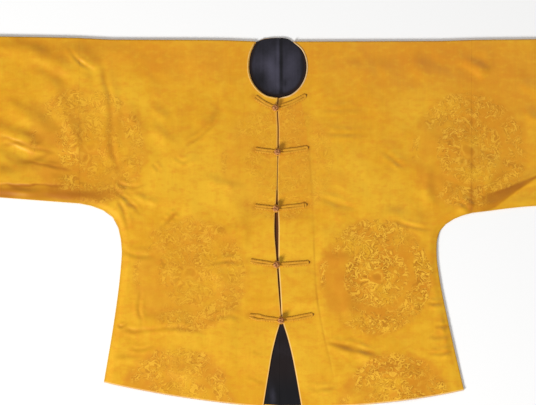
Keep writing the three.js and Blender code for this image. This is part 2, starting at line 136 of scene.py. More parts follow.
def spread(length: float, count: int, start: bool, end: bool) -> Array:
    """Spaces points along a line, closer together where its edge is rolled.

    Args:
        length: The line's length.
        count: The number of steps.
        start: Whether the points crowd at the start.
        end: Whether they crowd at the end.

    Returns:
        The points' fractions of the length, 0 and 1 included.
    """
    crowd = np.array([0, 0.12, 0.4, 0.9, 1.8]) * MM / length
    first = crowd if start else np.zeros(1)
    last = 1 - crowd[::-1] if end else np.ones(1)
    middle = np.linspace(first[-1], last[0], count + 3 - len(first) - len(last))
    return np.concatenate([first[:-1], middle, last[1:]])


def chained(stretches: list[Array], counts: tuple[int, ...]) -> Array:
    """Samples stretches of a line one after the other, so that each corner gets a point.

    Args:
        stretches: Polylines, each starting where the last one ends.
        counts: The number of steps on each.

    Returns:
        The points, with each shared corner once. They crowd at the very end.
    """
    parts = []
    for i, (line, count) in enumerate(zip(stretches, counts)):
        length = float(np.linalg.norm(np.diff(line, axis=0), axis=1).sum())
        parts.append(sampled(line, spread(length, count, False, i == len(stretches) - 1)))
    return np.vstack([parts[0], *[part[1:] for part in parts[1:]]])


def beside(x: Array, y: Array, path: Array) -> tuple[Array, Array, Array]:
    """Measures how places lie beside a polyline.

    Args:
        x: The places' x.
        y: The places' y.
        path: The polyline.

    Returns:
        The distance of each place, its signed distance (positive to the left of the path) and
        how far along the path it falls, from 0 to 1.
    """
    along = lengths_along(path)
    best = np.full(x.shape, np.inf)
    side = np.zeros(x.shape)
    reach = np.zeros(x.shape)
    for i in range(len(path) - 1):
        (ax, ay), (bx, by) = path[i], path[i + 1]
        dx, dy = bx - ax, by - ay
        t = np.clip(((x - ax) * dx + (y - ay) * dy) / (dx * dx + dy * dy), 0, 1)
        ox, oy = x - ax - t * dx, y - ay - t * dy
        off = np.hypot(ox, oy)
        nearer = off < best
        best = np.where(nearer, off, best)
        side = np.where(nearer, np.sign(dx * oy - dy * ox), side)
        reach = np.where(nearer, along[i] + t * (along[i + 1] - along[i]), reach)
    return best, side * best, reach


def eased(value: Array, low: float, high: float) -> Array:
    """Returns 0 below low and 1 above high, with a smooth step between them."""
    t = np.clip((value - low) / (high - low), 0, 1)
    return t * t * (3 - 2 * t)


def soft_noise(x: Array, y: Array, wavelength: float, seed: int) -> Array:
    """Returns smooth random waves over the cloth, from about -1 to 1.

    Args:
        x: Places' x, in metres.
        y: Places' y, in metres.
        wavelength: The distance between neighbouring random values.
        seed: Picks the waves.
    """
    size = 64
    table = np.random.default_rng(seed).uniform(-1, 1, (size, size))
    u, v = x / wavelength + size / 2, y / wavelength + size / 2
    i, j = np.floor(u).astype(int), np.floor(v).astype(int)
    s, t = u - i, v - j
    s, t = s * s * (3 - 2 * s), t * t * (3 - 2 * t)
    i, j, i1, j1 = i % size, j % size, (i + 1) % size, (j + 1) % size
    low = table[i, j] * (1 - s) + table[i1, j] * s
    high = table[i, j1] * (1 - s) + table[i1, j1] * s
    return low * (1 - t) + high * t


def patches(x: Array, y: Array, table: tuple[Patch, ...], power: float = 2.0) -> Array:
    """Adds up soft patches.

    Args:
        x: Places' x, in metres.
        y: Places' y, in metres.
        table: Each patch's x, y, reach along x and along y in millimetres, and how much it adds.
        power: How flat the patches are in their middles.
    """
    total = np.zeros(x.shape)
    for middle_x, middle_y, reach_x, reach_y, amount in table:
        off = np.hypot((x / MM - middle_x) / reach_x, (y / MM - middle_y) / reach_y)
        total += amount * np.exp(-(off**power))
    return total


def nearest(x: Array, y: Array, *lines: Array) -> Array:
    """Returns how far each place is from the nearest of some polylines."""
    return np.minimum.reduce([beside(x, y, line)[0] for line in lines])


# ---- Outlines of the frame's cloth solids ----


class Outline:
    """The outline of a cloth solid's face that looks up over the lining, or of its underside.

    Attributes:
        loop: Its points in order, in x and y.
        out: How far each lies outwards from the jacket's middle.
        up: How far each lies towards the neck.
    """

    LEVEL = 0.6
    """A face whose normal has more of Z than this counts as level."""
    FRONT_FACE = 2.8 * MM
    """The front's upper face lies above this."""
    NECK_DROP = 9 * MM
    """The neck starts less than this below the shoulder."""

    def __init__(self, node: str, side: Side, up: bool) -> None:
        """Reads the outline from a node.

        Args:
            node: The node's name.
            side: The half of the jacket that it belongs to.
            up: True for the face that looks up, and False for the underside.
        """
        places, triangles = self._triangles(node)
        corners = places[triangles]
        normals = np.cross(corners[:, 1] - corners[:, 0], corners[:, 2] - corners[:, 0])
        normals /= np.maximum(np.linalg.norm(normals, axis=1), 1e-12)[:, None]
        height = corners[:, :, 2].mean(axis=1)
        if up:
            chosen = (normals[:, 2] > self.LEVEL) & (height > self.FRONT_FACE)
        else:
            chosen = (normals[:, 2] < -self.LEVEL) & (height < 0.1 * MM)
        self.loop = places[self._walk(triangles[chosen])][:, :2]
        self.out = self.loop[:, 0] * side.value
        self.up = self.loop[:, 1]

    @staticmethod
    def _triangles(node: str) -> tuple[Array, Array]:
        """Returns a node's vertices, each once, and its triangles."""
        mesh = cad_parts[node].data
        mesh.calc_loop_triangles()
        places = np.empty(3 * len(mesh.vertices))
        mesh.vertices.foreach_get("co", places)
        corners = np.empty(3 * len(mesh.loop_triangles), dtype=np.int32)
        mesh.loop_triangles.foreach_get("vertices", corners)
        places = places.reshape(-1, 3)
        grid = np.round(places / (0.002 * MM)).astype(np.int64)
        _, first, merged = np.unique(grid, axis=0, return_index=True, return_inverse=True)
        return places[first], merged.ravel()[corners].reshape(-1, 3)

    @staticmethod
    def _walk(triangles: Array) -> list[int]:
        """Returns the longest loop of edges that belong to one triangle only."""
        edges = {(int(t[i]), int(t[(i + 1) % 3])) for t in triangles for i in range(3)}
        after = {a: b for a, b in edges if (b, a) not in edges}
        loops = []
        while after:
            start, at = next(iter(after.items()))
            del after[start]
            loop = [start]
            while at in after:
                loop.append(at)
                at = after.pop(at)
            loops.append(loop)
        return max(loops, key=len)

    def corner(self, out: float, up: float, within: Array | None = None) -> int:
        """Returns the point furthest along a direction.

        Args:
            out: The direction's share outwards from the jacket's middle.
            up: The direction's share towards the neck.
            within: Which points may be chosen, or None for all.
        """
        score = out * self.out + up * self.up
        return int(np.argmax(score if within is None else np.where(within, score, -np.inf)))

    def neck(self) -> tuple[int, int]:
        """Returns the points where the neck starts at the shoulder and ends at the opening."""
        start = self.corner(-1, 0, self.up > self.up.max() - self.NECK_DROP)
        return start, self.corner(0, 1, self.out < 10 * MM)

    def between(self, start: int, end: int) -> Array:
        """Returns the stretch from one point to another, the shorter way round."""
        n = len(self.loop)
        forward = (end - start) % n
        step, count = (1, forward) if forward <= n - forward else (-1, n - forward)
        return self.loop[[(start + step * k) % n for k in range(count + 1)]]


def split_at(line: Array, level: float) -> tuple[Array, Array]:
    """Parts a polyline where its y first reaches a level, into two parts that share a point."""
    y = line[:, 1]
    i = int(np.argmax((y[:-1] - level) * (y[1:] - level) <= 0))
    t = (level - y[i]) / (y[i + 1] - y[i] or 1)
    point = line[i] + np.clip(t, 0.001, 0.999) * (line[i + 1] - line[i])
    return np.vstack([line[: i + 1], point]), np.vstack([point, line[i + 1 :]])


def patch(top: Array, bottom: Array, inner: Array, outer: Array) -> Array:
    """Fills the space between four lines with a grid of places.

    Args:
        top: The first row, from the inner to the outer side.
        bottom: The last row.
        inner: The first column, from the top to the bottom.
        outer: The last column.

    Returns:
        The places, by row and column.
    """
    s = lengths_along(top)[None, :, None]
    t = ((lengths_along(inner) + lengths_along(outer)) / 2)[:, None, None]
    across = (1 - s) * inner[:, None] + s * outer[:, None]
    down = (1 - t) * top[None] + t * bottom[None]
    ends = (1 - s) * (1 - t) * top[0] + s * (1 - t) * top[-1]
    ends = ends + (1 - s) * t * bottom[0] + s * t * bottom[-1]
    return across + down - ends


# ---- The lie of the cloth ----


class Form(Enum):
    """The section of a crease."""

    RIDGE = "ridge"
    PINCH = "pinch"
    STEP = "step"
    PLEAT = "pleat"


@dataclass(frozen=True)
class Crease:
    """One crease of the front.

    Attributes:
        path: Places along it, in millimetres.
        width: How far it reaches to each side, in millimetres.
        height: How high it stands, in millimetres, negative for a trough.
        form: Its section.
        shade_amount: How much painted shade it gets, in its groove or on its side turned from the key light.
    """

    path: tuple[Place, ...]
    width: float
    height: float
    form: Form
    shade_amount: float

    def _near(self, x: Array, y: Array, widths: float) -> tuple[Array, Array]:
        """Returns the crease's curve, and which places lie within some widths of its box."""
        path = smoothed(np.array(self.path, dtype=float) * MM, 6)
        reach = widths * self.width * MM
        low, high = path.min(axis=0) - reach, path.max(axis=0) + reach
        return path, (x > low[0]) & (x < high[0]) & (y > low[1]) & (y < high[1])

    def lift(self, x: Array, y: Array, seed: int) -> Array:
        """Returns how far the crease lifts the cloth at each place.

        Args:
            x: The places' x, in metres.
            y: The places' y, in metres.
            seed: Picks how the crease swells and sinks along its length.
        """
        width = self.width * MM
        path, near = self._near(x, y, 9 if self.form is Form.STEP else 4)
        lift = np.zeros(x.shape)
        if not near.any():
            return lift
        off, signed, along = beside(x[near], y[near], path)
        fade = eased(np.minimum(along, 1 - along), 0, 0.38)
        fade = fade * (0.75 + 0.45 * soft_noise(x[near], y[near], 34 * MM, 50 + seed))
        waver = 1 + 0.25 * np.sin(2 * math.pi * (along * (1.5 + seed % 3) + 0.37 * seed))
        if self.form is Form.RIDGE:
            section = np.exp(-((off / width) ** 2))
        elif self.form is Form.PINCH:
            shoulders = np.exp(-(((off - 1.3 * width) / (0.85 * width)) ** 2))
            section = shoulders - 0.55 * np.exp(-((off / (0.55 * width)) ** 2))
        elif self.form is Form.PLEAT:
            section = np.exp(-((off / np.where(signed > 0, width, 0.26 * width)) ** 2))
        else:
            rise = 0.5 * (1 + np.tanh(signed / width))
            section = rise * np.exp(-np.maximum(signed, 0) / (3 * width))
        lift[near] = self.height * MM * section * fade * waver
        return lift

    def painted_shade(self, x: Array, y: Array, seed: int) -> Array:
        """Returns the painted shade of the crease, from 0 to 1: in its groove for a pinch and a step, and on
        its side turned from the key light for a ridge and a pleat.

        Args:
            x: The places' x, in metres.
            y: The places' y, in metres.
            seed: Picks how the shade comes and goes along the crease.
        """
        path, near = self._near(x, y, 5)
        depth = np.zeros(x.shape)
        if self.shade_amount == 0 or not near.any():
            return depth
        _, signed, along = beside(x[near], y[near], path)
        way = path[-1] - path[0]
        turned = signed * np.sign(way[0] - way[1]) * np.sign(self.height)
        middle = {Form.PLEAT: 0.75, Form.RIDGE: 1.0}.get(self.form, 0.0)
        flat_topped = 4 if self.form is Form.PLEAT else 2
        section = np.exp(-(np.abs((turned / (self.width * MM) - middle) / 0.75) ** flat_topped))
        fade = eased(np.minimum(along, 1 - along), 0, 0.22)
        patchy = 0.7 + 0.5 * soft_noise(x[near], y[near], 26 * MM, 70 + seed)
        depth[near] = self.shade_amount * section * fade * np.clip(patchy, 0.1, 1.1)
        return depth


RIDGE, PINCH, STEP, PLEAT = Form


def creases(*rows: tuple[float | Form, ...]) -> tuple[Crease, ...]:
    """Makes creases from rows of width, height, form, amount of painted shade, and then x and y of each
    place.
    """
    return tuple(Crease(tuple(zip(row[4::2], row[5::2])), *row[:4]) for row in rows)


LEFT_CREASES = creases(
    (9, 1.0, PINCH, 0.65, -349, 348, -341, 280, -335, 204, -328, 130, -316, 62),
    (20, 3.4, RIDGE, 0.5, -560, 360, -510, 344, -465, 316, -396, 284),
    (13, -1.6, RIDGE, 0.2, -505, 336, -452, 298, -404, 264),
    (15, 2.8, RIDGE, 0.55, -412, 360, -384, 326, -352, 298),
    (10, -1.2, RIDGE, 0.2, -404, 334, -376, 300, -352, 284),
    (15, 3.0, RIDGE, 0.5, -690, 200, -555, 182, -470, 150, -404, 128),
    (9, -1.4, RIDGE, 0.3, -640, 166, -555, 148, -480, 122),
    (13, 2.4, RIDGE, 0.55, -690, 112, -560, 92, -478, 100, -410, 92),
    (8, 1.4, PINCH, 0.8, -690, 84, -560, 74, -470, 68, -400, 70),
    (2.6, 0.6, PINCH, 1.3, -690, 86, -560, 76, -480, 72, -396, 64),
    (4.2, 0.7, PINCH, 0.9, -500, 122, -450, 108, -404, 92),
    (5, 0.8, PINCH, 0.6, -560, 172, -500, 152, -430, 134),
    (6, 0.8, PINCH, 0.8, -430, 352, -392, 318, -356, 292),
    (8, 1.0, RIDGE, 0.5, -552, 128, -520, 112, -478, 118, -440, 132),
    (12, 1.1, RIDGE, 0.3, -548, 236, -500, 214, -462, 196),
    (12, 1.1, RIDGE, 0.3, -470, 300, -440, 262, -426, 220),
    (12, 1.2, RIDGE, 0.3, -300, 250, -286, 200, -262, 160),
    (11, 0.8, RIDGE, 0.25, -262, 196, -230, 170, -196, 150),
    (6, 0.6, RIDGE, 0.6, -560, 142, -510, 146, -460, 156),
    (16, 2.2, RIDGE, 0.25, -640, 330, -600, 250, -585, 190),
    (16, 1.9, RIDGE, 0.3, -520, 240, -470, 190, -440, 150),
    (12, 1.6, RIDGE, 0.35, -430, 230, -404, 160, -398, 100),
    (6, 0.9, PINCH, 0.3, -101, 236, -140, 188, -190, 138),
    (9, 1.2, RIDGE, 0.3, -114, 244, -150, 206, -198, 154),
    (5, 0.7, PINCH, 0.4, -168, 130, -190, 117, -208, 133),
    (10, 0.8, RIDGE, 0.25, -262, 228, -235, 214, -212, 202),
    (5, 1.0, PINCH, 0.7, -231, -12, -218, 2, -198, 18),
    (5, 0.9, PINCH, 0.6, -252, 118, -243, 108, -236, 98),
    (6, 0.6, PINCH, 0.5, -336, 84, -296, 68, -256, 76),
    (6, 0.75, PINCH, 0.6, -342, 70, -300, 40, -270, 6),
    (6, 0.65, PINCH, 0.45, -328, 54, -308, 22, -300, -26),
    (8, 0.9, RIDGE, 0.45, -352, 84, -310, 104, -276, 134),
    (7, 0.9, RIDGE, 0.4, -300, 60, -262, 40, -222, 44),
    (8, 0.7, PINCH, 0.3, -322, -56, -280, -70, -244, -66),
    (6, 0.8, PINCH, 0.6, -336, -208, -280, -220, -215, -214, -136, -220),
    (12, 1.3, RIDGE, 0.2, -320, -196, -250, -202, -180, -196),
    (6, 0.7, PINCH, 0.4, -273, -128, -277, -176, -270, -226),
    (5, 0.8, PINCH, 0.5, -294, -250, -268, -257, -244, -251),
    (4, 1.0, PINCH, 0.6, -324, -204, -312, -210, -300, -203),
    (5, 0.7, PINCH, 0.4, -66, -308, -44, -320, -22, -331),
    (5, 0.6, PINCH, 0.4, -52, -254, -38, -260, -26, -257),
    (13, 1.1, RIDGE, 0.25, -240, -290, -190, -298, -130, -290),
    (14, 0.9, RIDGE, 0.25, -120, -40, -112, -120, -104, -200),
    (12, 0.7, RIDGE, 0.25, -70, 60, -74, 0, -66, -60),
    (10, 0.9, RIDGE, 0.25, -150, 80, -90, 66, -56, 60),
    (9, 0.7, RIDGE, 0.25, -130, -30, -90, -20, -54, -10),
    (6, 0.7, PINCH, 0.35, -60, -86, -100, -80, -140, -86),
    (7, 0.7, PINCH, 0.3, -64, -196, -104, -190, -150, -200),
    (7, 0.8, RIDGE, 0.4, -330, -284, -300, -276, -270, -282),
)
RIGHT_CREASES = creases(
    (7, 0.45, PINCH, 0.22, 76, 226, 120, 222, 176, 222),
    (7, 0.5, PINCH, 0.25, 80, 176, 130, 172, 196, 178),
    (7, 0.7, PINCH, 0.3, 70, 42, 110, 34, 172, 20),
    (9, 0.8, RIDGE, 0.2, 74, 28, 112, 16, 154, 2),
    (9, 0.7, RIDGE, 0.25, 66, -70, 110, -80, 160, -76),
    (6, 0.9, PINCH, 0.7, 222, 0, 262, -8, 310, -16),
    (12, 1.3, RIDGE, 0.3, 190, 14, 250, 10, 310, -2),
    (6, 1.3, PINCH, 0.7, 94, -240, 134, -251, 200, -261),
    (8, 1.2, RIDGE, 0.5, 104, -256, 150, -268, 214, -271),
    (5, 1.0, PINCH, 0.6, 296, -164, 320, -168, 340, -164),
    (5, 0.9, PINCH, 0.6, 310, -210, 330, -214, 350, -210),
    (5, 0.9, PINCH, 0.5, 302, -230, 322, -233, 344, -228),
    (5, 1.1, PINCH, 0.7, 296, -262, 318, -264, 348, -259),
    (6, 0.8, PINCH, 0.5, 46, -333, 80, -337, 126, -332),
    (14, 1.5, RIDGE, 0.35, 346, 332, 390, 312, 436, 284),
    (8, -0.8, RIDGE, 0.15, 352, 312, 384, 292, 418, 272),
    (6, 0.6, PINCH, 0.3, 205, 150, 228, 128, 260, 104),
    (15, 4.2, PLEAT, 0.2, 376, -4, 396, 14, 428, 34, 466, 54, 518, 80, 600, 112, 700, 148),
    (2.6, 0.5, PINCH, 1.0, 420, 54, 466, 69, 518, 89, 600, 119, 680, 146),
    (6, 1.2, PINCH, 0.5, 352, 40, 372, 30, 390, 10),
    (9, 1.3, RIDGE, 0.5, 386, 40, 420, 74, 448, 110),
    (14, 1.4, RIDGE, 0.25, 430, 20, 500, 30, 600, 46, 690, 62),
    (18, 1.9, RIDGE, 0.25, 440, 300, 520, 262, 640, 240),
    (14, 1.4, RIDGE, 0.25, 450, 214, 540, 196, 660, 190),
    (12, 1.2, RIDGE, 0.25, 560, 340, 580, 300, 590, 250),
    (10, 1.2, RIDGE, 0.25, 322, 40, 350, 80, 392, 130),
    (9, 0.9, RIDGE, 0.25, 318, 16, 300, 60, 296, 120),
    (14, 1.2, RIDGE, 0.25, 250, 330, 290, 300, 350, 286),
    (16, 1.0, RIDGE, 0.25, 120, 320, 180, 300, 250, 306),
    (12, 1.1, RIDGE, 0.25, 180, -300, 240, -306, 300, -298),
    (14, 0.8, RIDGE, 0.25, 130, -60, 138, -130, 150, -210),
    (12, 1.0, RIDGE, 0.25, 286, -60, 270, -130, 280, -200),
)
FACING_LINE = creases(
    (2.2, -0.9, STEP, 0.5, 46, 250, 58, 190, 64, 122, 70, 42, 73, -58, 77, -138, 90, -218)
    + (104, -278, 117, -345),
)[0]
"""The edge of the facing under the right front, pressed through."""
FACING_SEED = 77

WAVES = ((120, 1.5, 3), (52, 1.1, 8), (25, 0.5, 21), (12, 0.15, 34))
"""The cloth's own unevenness: wavelength and height in millimetres, and a seed."""

SHADE_PATCHES = (
    (-590, 54, 230, 13, 1.2),
    (386, 34, 8, 24, 0.75),
    (398, 60, 9, 12, 0.4),
    (-400, 46, 60, 13, 0.6),
    (-540, 92, 170, 26, 0.2),
    (-345, 70, 40, 26, 0.25),
    (404, 22, 20, 10, 0.4),
    (-62, 10, 30, 60, 0.1),
)
# Patches of painted shade where folds keep the cloth in shade: x, y, reach along x and y, and how much.
"""Patches where folds keep the cloth in shade: x, y, reach along x and y, and how much."""

SEAM_SHADES = ((387.5, 30, 230, 0.62), (-395.0, 60, 210, 0.3))
# Stretches of the sleeve seams with patchy painted shade: x, lower and upper y, and how much.
"""Stretches of the sleeve seams that gather shade: x, lower and upper y, and how much."""

FROG_PATHS = (
    ((-46, 249), (-26, 234), (-4, 226), (26, 233), (56, 250)),
    ((-46, 143), (0, 138), (60, 146)),
    ((-47, 30), (-3, 25), (57, 32)),
    ((-56, -79), (-2, -87), (62, -83)),
    ((-58, -189), (7, -198), (70, -187)),
)
"""Along the middles of the frogs' straps."""

FROG_ROWS = ((247, 229), (140, 20), (29, 20), (-82, 20), (-190, 22))
"""Where the frogs lie: the y of each and how far from it the cloth is kept calm."""

SHADED_FOLD = (
    ((392, 40), (414, 53), (466, 70), (514, 89), (600, 119), (690, 148)),
    ((396, 4), (437, 27), (478, 58), (514, 82), (600, 108), (690, 136)),
)
# The upper and lower edge of the painted shade on the shaded side of the right sleeve's big fold.
"""The upper and lower edge of the shaded side of the right sleeve's big fold."""


@dataclass(frozen=True)
class Lie:
    """How the upper layer of the jacket lies over what is under it.

    Attributes:
        sewn: Height of its top where it is sewn to the layer below.
        free: Height of its top elsewhere.
        roll: How far it takes to rise from one to the other.
        lowest: How far a trough may dip below that.
        highest: How far a ridge may rise above it.
        shoulder: Creases fade out over this distance below the shoulder.
        cuff: How far the mouth of a sleeve stays open.
        cuff_reach: Over what distance from the cuff.
        depth: Deepens all creases alike.
    """

    sewn: float = 3.3 * MM
    free: float = 4.6 * MM
    roll: float = 16 * MM
    lowest: float = 0.5 * MM
    highest: float = 5.5 * MM
    shoulder: float = 30 * MM
    cuff: float = 1.6 * MM
    cuff_reach: float = 60 * MM
    depth: float = 1.5

    def creased(self, x: Array, y: Array) -> Array:
        """Returns how far creases and waves lift the cloth at each place."""
        lift = 0.9 * MM + self.depth * FACING_LINE.lift(x, y, FACING_SEED)
        x, y = self._wandering(x, y)
        for seed, crease in enumerate((*LEFT_CREASES, *RIGHT_CREASES)):
            lift += self.depth * crease.lift(x, y, seed)
        crumpled = 1 + 0.6 * eased(np.abs(x), 330 * MM, 440 * MM)
        for wavelength, height, seed in WAVES:
            lift += crumpled * height * MM * soft_noise(x, y, wavelength * MM, seed)
        lift = np.where(lift < 0, -self.lowest * np.tanh(-lift / self.lowest), lift)
        return np.where(lift > 0, self.highest * np.tanh(lift / self.highest), lift)

    @staticmethod
    def _wandering(x: Array, y: Array) -> tuple[Array, Array]:
        """Moves places a little, so that no crease runs quite evenly."""
        aside, down = (
            5.5 * MM * soft_noise(x, y, 48 * MM, seed) + 1.6 * MM * soft_noise(x, y, 15 * MM, seed + 1)
            for seed in (91, 93)
        )
        return x + aside, y + down

    def painted_shade_depth(self, x: Array, y: Array) -> Array:
        """Returns the painted shade on the front: in folds and on creases' shaded sides, beside the frogs
        and along the sleeve seams.
        """
        depth = patches(x, y, SHADE_PATCHES, 3) * (0.9 + 0.25 * soft_noise(x, y, 30 * MM, 61))
        depth += FACING_LINE.painted_shade(x, y, FACING_SEED)
        # Painted shadow of the frogs' straps on the cloth beside them.
        beside_frogs = 0.7 + 0.6 * soft_noise(x, y, 9 * MM, 62)
        for frog in FROG_PATHS:
            off = beside(x, y, np.array(frog) * MM)[0]
            depth += 0.45 * np.exp(-((off / (7.5 * MM)) ** 4)) * beside_frogs
        # Painted shade on the shaded side of the right sleeve's big fold.
        upper, lower = (beside(x, y, np.array(line) * MM)[1] for line in SHADED_FOLD)
        fold = eased(-upper, -1 * MM, 2.5 * MM) * eased(lower, -1 * MM, 4 * MM)
        fold *= eased(x, 398 * MM, 424 * MM) * eased(-x, -690 * MM, -620 * MM)
        depth += fold * (0.95 + 0.2 * soft_noise(x, y, 22 * MM, 64))
        for seam, low, high, amount in SEAM_SHADES:
            off = np.exp(-(((x / MM - seam) / 3.6) ** 2)) * eased(y, (low - 20) * MM, (low + 20) * MM)
            dots = np.clip(0.45 + 0.9 * soft_noise(x, y, 11 * MM, 63), 0, 1)
            depth += amount * off * eased(-y, -(high + 30) * MM, -(high - 30) * MM) * dots
        x, y = self._wandering(x, y)
        for seed, crease in enumerate((*LEFT_CREASES, *RIGHT_CREASES)):
            depth += crease.painted_shade(x, y, seed)
        return np.clip(depth, 0, 1.2)

    def calm(self, x: Array, y: Array) -> Array:
        """Returns 0 under the frogs and 1 away from them."""
        across = eased(np.abs(x), 62 * MM, 96 * MM)
        down = np.ones(x.shape)
        for row, reach in FROG_ROWS:
            down = np.minimum(down, eased(np.abs(y - row * MM), 9 * MM, (reach + 8) * MM))
        return np.maximum(across, 0.55 * down)

    def height(self, x: Array, y: Array, below_shoulder: Array, from_edge: Array) -> Array:
        """Returns the height of the cloth's top.

        Args:
            x: The places' x.
            y: The places' y.
            below_shoulder: How far each lies below the shoulder.
            from_edge: How far each lies from the underarm and the side.
        """
        inside = eased(from_edge, 0, self.roll)
        kept = eased(below_shoulder, FOLD_RADIUS, self.shoulder) * (0.3 + 0.7 * inside)
        lift = self.creased(x, y) * self.calm(x, y) * kept
        open_mouth = self.cuff * np.exp(-(((CUFF - np.abs(x)) / self.cuff_reach) ** 2))
        lift = lift + open_mouth * inside * eased(below_shoulder, FOLD_RADIUS, self.shoulder)
        return self.sewn + (self.free - self.sewn) * inside + np.maximum(lift, -self.lowest)


LIE = Lie()


def rolled(distance: Array, radius: float) -> Array:
    """Returns how far a rounded edge falls away at each distance from it."""
    short = np.clip(radius - distance, 0, radius)
    return radius - np.sqrt(np.maximum(radius**2 - short**2, 0))


def lowest_near(top: Array) -> Array:
    """Returns the lowest height near each place of a grid, and its own height at the edges."""
    low = top.copy()
    for down in (-2, 0, 2):
        for across in (-2, 0, 2):
            low = np.minimum(low, np.roll(top, (down, across), (0, 1)))
    rows, columns = [0, 1, 2, -1, -2, -3], [0, 1, -1, -2]
    low[rows] = top[rows]
    low[:, columns] = top[:, columns]
    return low


def folded(
    front: Array, top: Array, fall: Array, back: Array, rise: Array, ends: Array, rows: int
) -> list[Array]:
    """Joins a back and a front by a fold at the shoulder.

    Args:
        front: The front's places by row and column, down from the shoulder.
        top: The height of its top.
        fall: How far its rounded edges fall away.
        back: The back's places, up from the hem to the shoulder.
        rise: How far its rounded edges rise.
        ends: How far the fold's two ends are rounded.
        rows: Steps round the fold.

    Returns:
        The places on the outer face, those on the inner face, and those on the flat cloth.
    """
    crown = front[0, :, 1]
    outer, inner, flat = [np.dstack([back, rise])], [np.dstack([back, np.full(rise.shape, CLOTH)])], []
    flat.append(np.dstack([back[..., 0], 2 * crown.max() - back[..., 1] + math.pi * FOLD_RADIUS]))
    for angle in np.pi * (np.arange(1, rows) / rows - 0.5):
        for radius, face in ((FOLD_RADIUS - ends, outer), (FOLD_RADIUS - CLOTH, inner)):
            height = (FOLD_RADIUS + radius * np.sin(angle)) * np.ones(len(crown))
            face.append(np.stack([front[0, :, 0], crown + radius * np.cos(angle), height], axis=-1))
        flat.append(np.stack([front[0, :, 0], crown + (math.pi / 2 - angle) * FOLD_RADIUS], axis=-1))
    outer.append(np.dstack([front, top - fall]))
    inner.append(np.dstack([front, lowest_near(top) - CLOTH]))
    flat.append(front)
    return [np.vstack([part.reshape(-1, part.shape[-1]) for part in face]) for face in (outer, inner, flat)]


# ---- Meshes ----


@dataclass
class Skin:
    """The outer face of a wall of cloth, and the inner face behind it.

    Attributes:
        grids: Rows and columns of vertex numbers. Grids that share vertices are joined.
        outer: The vertices' places on the outer face.
        inner: The same on the inner face.
        uv: The vertices' places on the flat cloth.
        reversed: Whether the grids run the other way round.
    """

    grids: list[Array]
    outer: Array
    inner: Array
    uv: Array
    reversed: bool

    def faces(self) -> tuple[Array, Array, Array]:
        """Closes the wall.

        Returns:
            The squares and the triangles, by vertex number, and which outer vertices have a
            partner on the inner face. The partners are numbered after all outer vertices.
        """
        count = len(self.outer)
        squares = np.vstack([self._squares(grid) for grid in self.grids])
        coarse = np.vstack([self._squares(grid[::COARSE, ::COARSE]) for grid in self.grids])
        partnered = np.unique(coarse)
        partner = np.full(count, -1)
        partner[partnered] = count + np.arange(len(partnered))
        rim = self._rim(squares, partner)
        return np.vstack([squares, partner[coarse][:, ::-1]]), rim, partnered

    def _squares(self, grid: Array) -> Array:
        """Returns the squares of a grid, facing outwards."""
        corners = [grid[:-1, :-1], grid[:-1, 1:], grid[1:, 1:], grid[1:, :-1]]
        squares = np.stack([c.ravel() for c in corners], axis=1)
        return squares[:, ::-1] if self.reversed else squares

    def piece(self, name: str) -> tuple[Piece, Array, Array]:
        """Makes the wall a mesh object.

        Args:
            name: The piece's name.

        Returns:
            The piece, its vertices' places, and the outer vertex that each stands for.
        """
        squares, rim, partnered = self.faces()
        places = np.vstack([self.outer, self.inner[partnered]])
        pick = np.concatenate([np.arange(len(self.outer)), partnered])
        return make_mesh(name, places, [squares, rim], self.uv[pick]), places, pick

    @staticmethod
    def _rim(squares: Array, partner: Array) -> Array:
        """Returns the triangles between the edges of the two faces."""
        ends = np.vstack([squares[:, [i, (i + 1) % 4]] for i in range(4)]).astype(np.int64)
        base = int(ends.max()) + 1
        codes, back = ends[:, 0] * base + ends[:, 1], ends[:, 1] * base + ends[:, 0]
        edge = ends[~np.isin(codes, back)]
        after = dict(zip(edge[:, 0].tolist(), edge[:, 1].tolist()))
        triangles = []
        while after:
            start = next(v for v in after if partner[v] >= 0)
            at = start
            while at in after:
                f = [at]
                for _ in range(COARSE):
                    f.append(after.pop(f[-1]))
                a, b = int(partner[f[0]]), int(partner[f[4]])
                triangles += [(f[1], f[0], a), (f[2], f[1], a), (f[2], a, b)]
                triangles += [(f[3], f[2], b), (f[4], f[3], b)]
                at = f[4]
        return np.array(triangles)


def make_mesh(
    name: str, places: Array, faces: list[Array], uv: Array | None = None
) -> Piece:
    """Makes a smooth mesh object at the origin.

    Args:
        name: The piece's name.
        places: The vertices' places.
        faces: Arrays of vertex numbers, one array for each number of corners.
        uv: The vertices' places on the flat cloth, or None.
    """
    mesh = bpy.data.meshes.new(name)
    mesh.vertices.add(len(places))
    mesh.vertices.foreach_set("co", places.astype(np.float32).ravel())
    corners = np.concatenate([f.ravel() for f in faces]).astype(np.int32)
    sizes = np.concatenate([np.full(len(f), f.shape[1]) for f in faces])
    starts = np.concatenate([[0], np.cumsum(sizes)[:-1]]).astype(np.int32)
    mesh.loops.add(len(corners))
    mesh.loops.foreach_set("vertex_index", corners)
    mesh.polygons.add(len(sizes))
    mesh.polygons.foreach_set("loop_start", starts)
    mesh.polygons.foreach_set("use_smooth", np.ones(len(sizes), dtype=bool))
    mesh.update(calc_edges=True)
    if uv is not None:
        layer = mesh.uv_layers.new(name=CUT)
        layer.data.foreach_set("uv", uv[corners].astype(np.float32).ravel())
    mesh.validate()
    piece = bpy.data.objects.new(name, mesh)
    bpy.context.scene.collection.objects.link(piece)
    return piece


def set_values(piece: Piece, name: str, values: Array) -> None:
    """Stores a number or a vector for each vertex of a piece."""
    kind, key = ("FLOAT", "value") if values.ndim == 1 else ("FLOAT_VECTOR", "vector")
    attribute = piece.data.attributes.new(name, kind, "POINT")
    attribute.data.foreach_set(key, values.astype(np.float32).ravel())


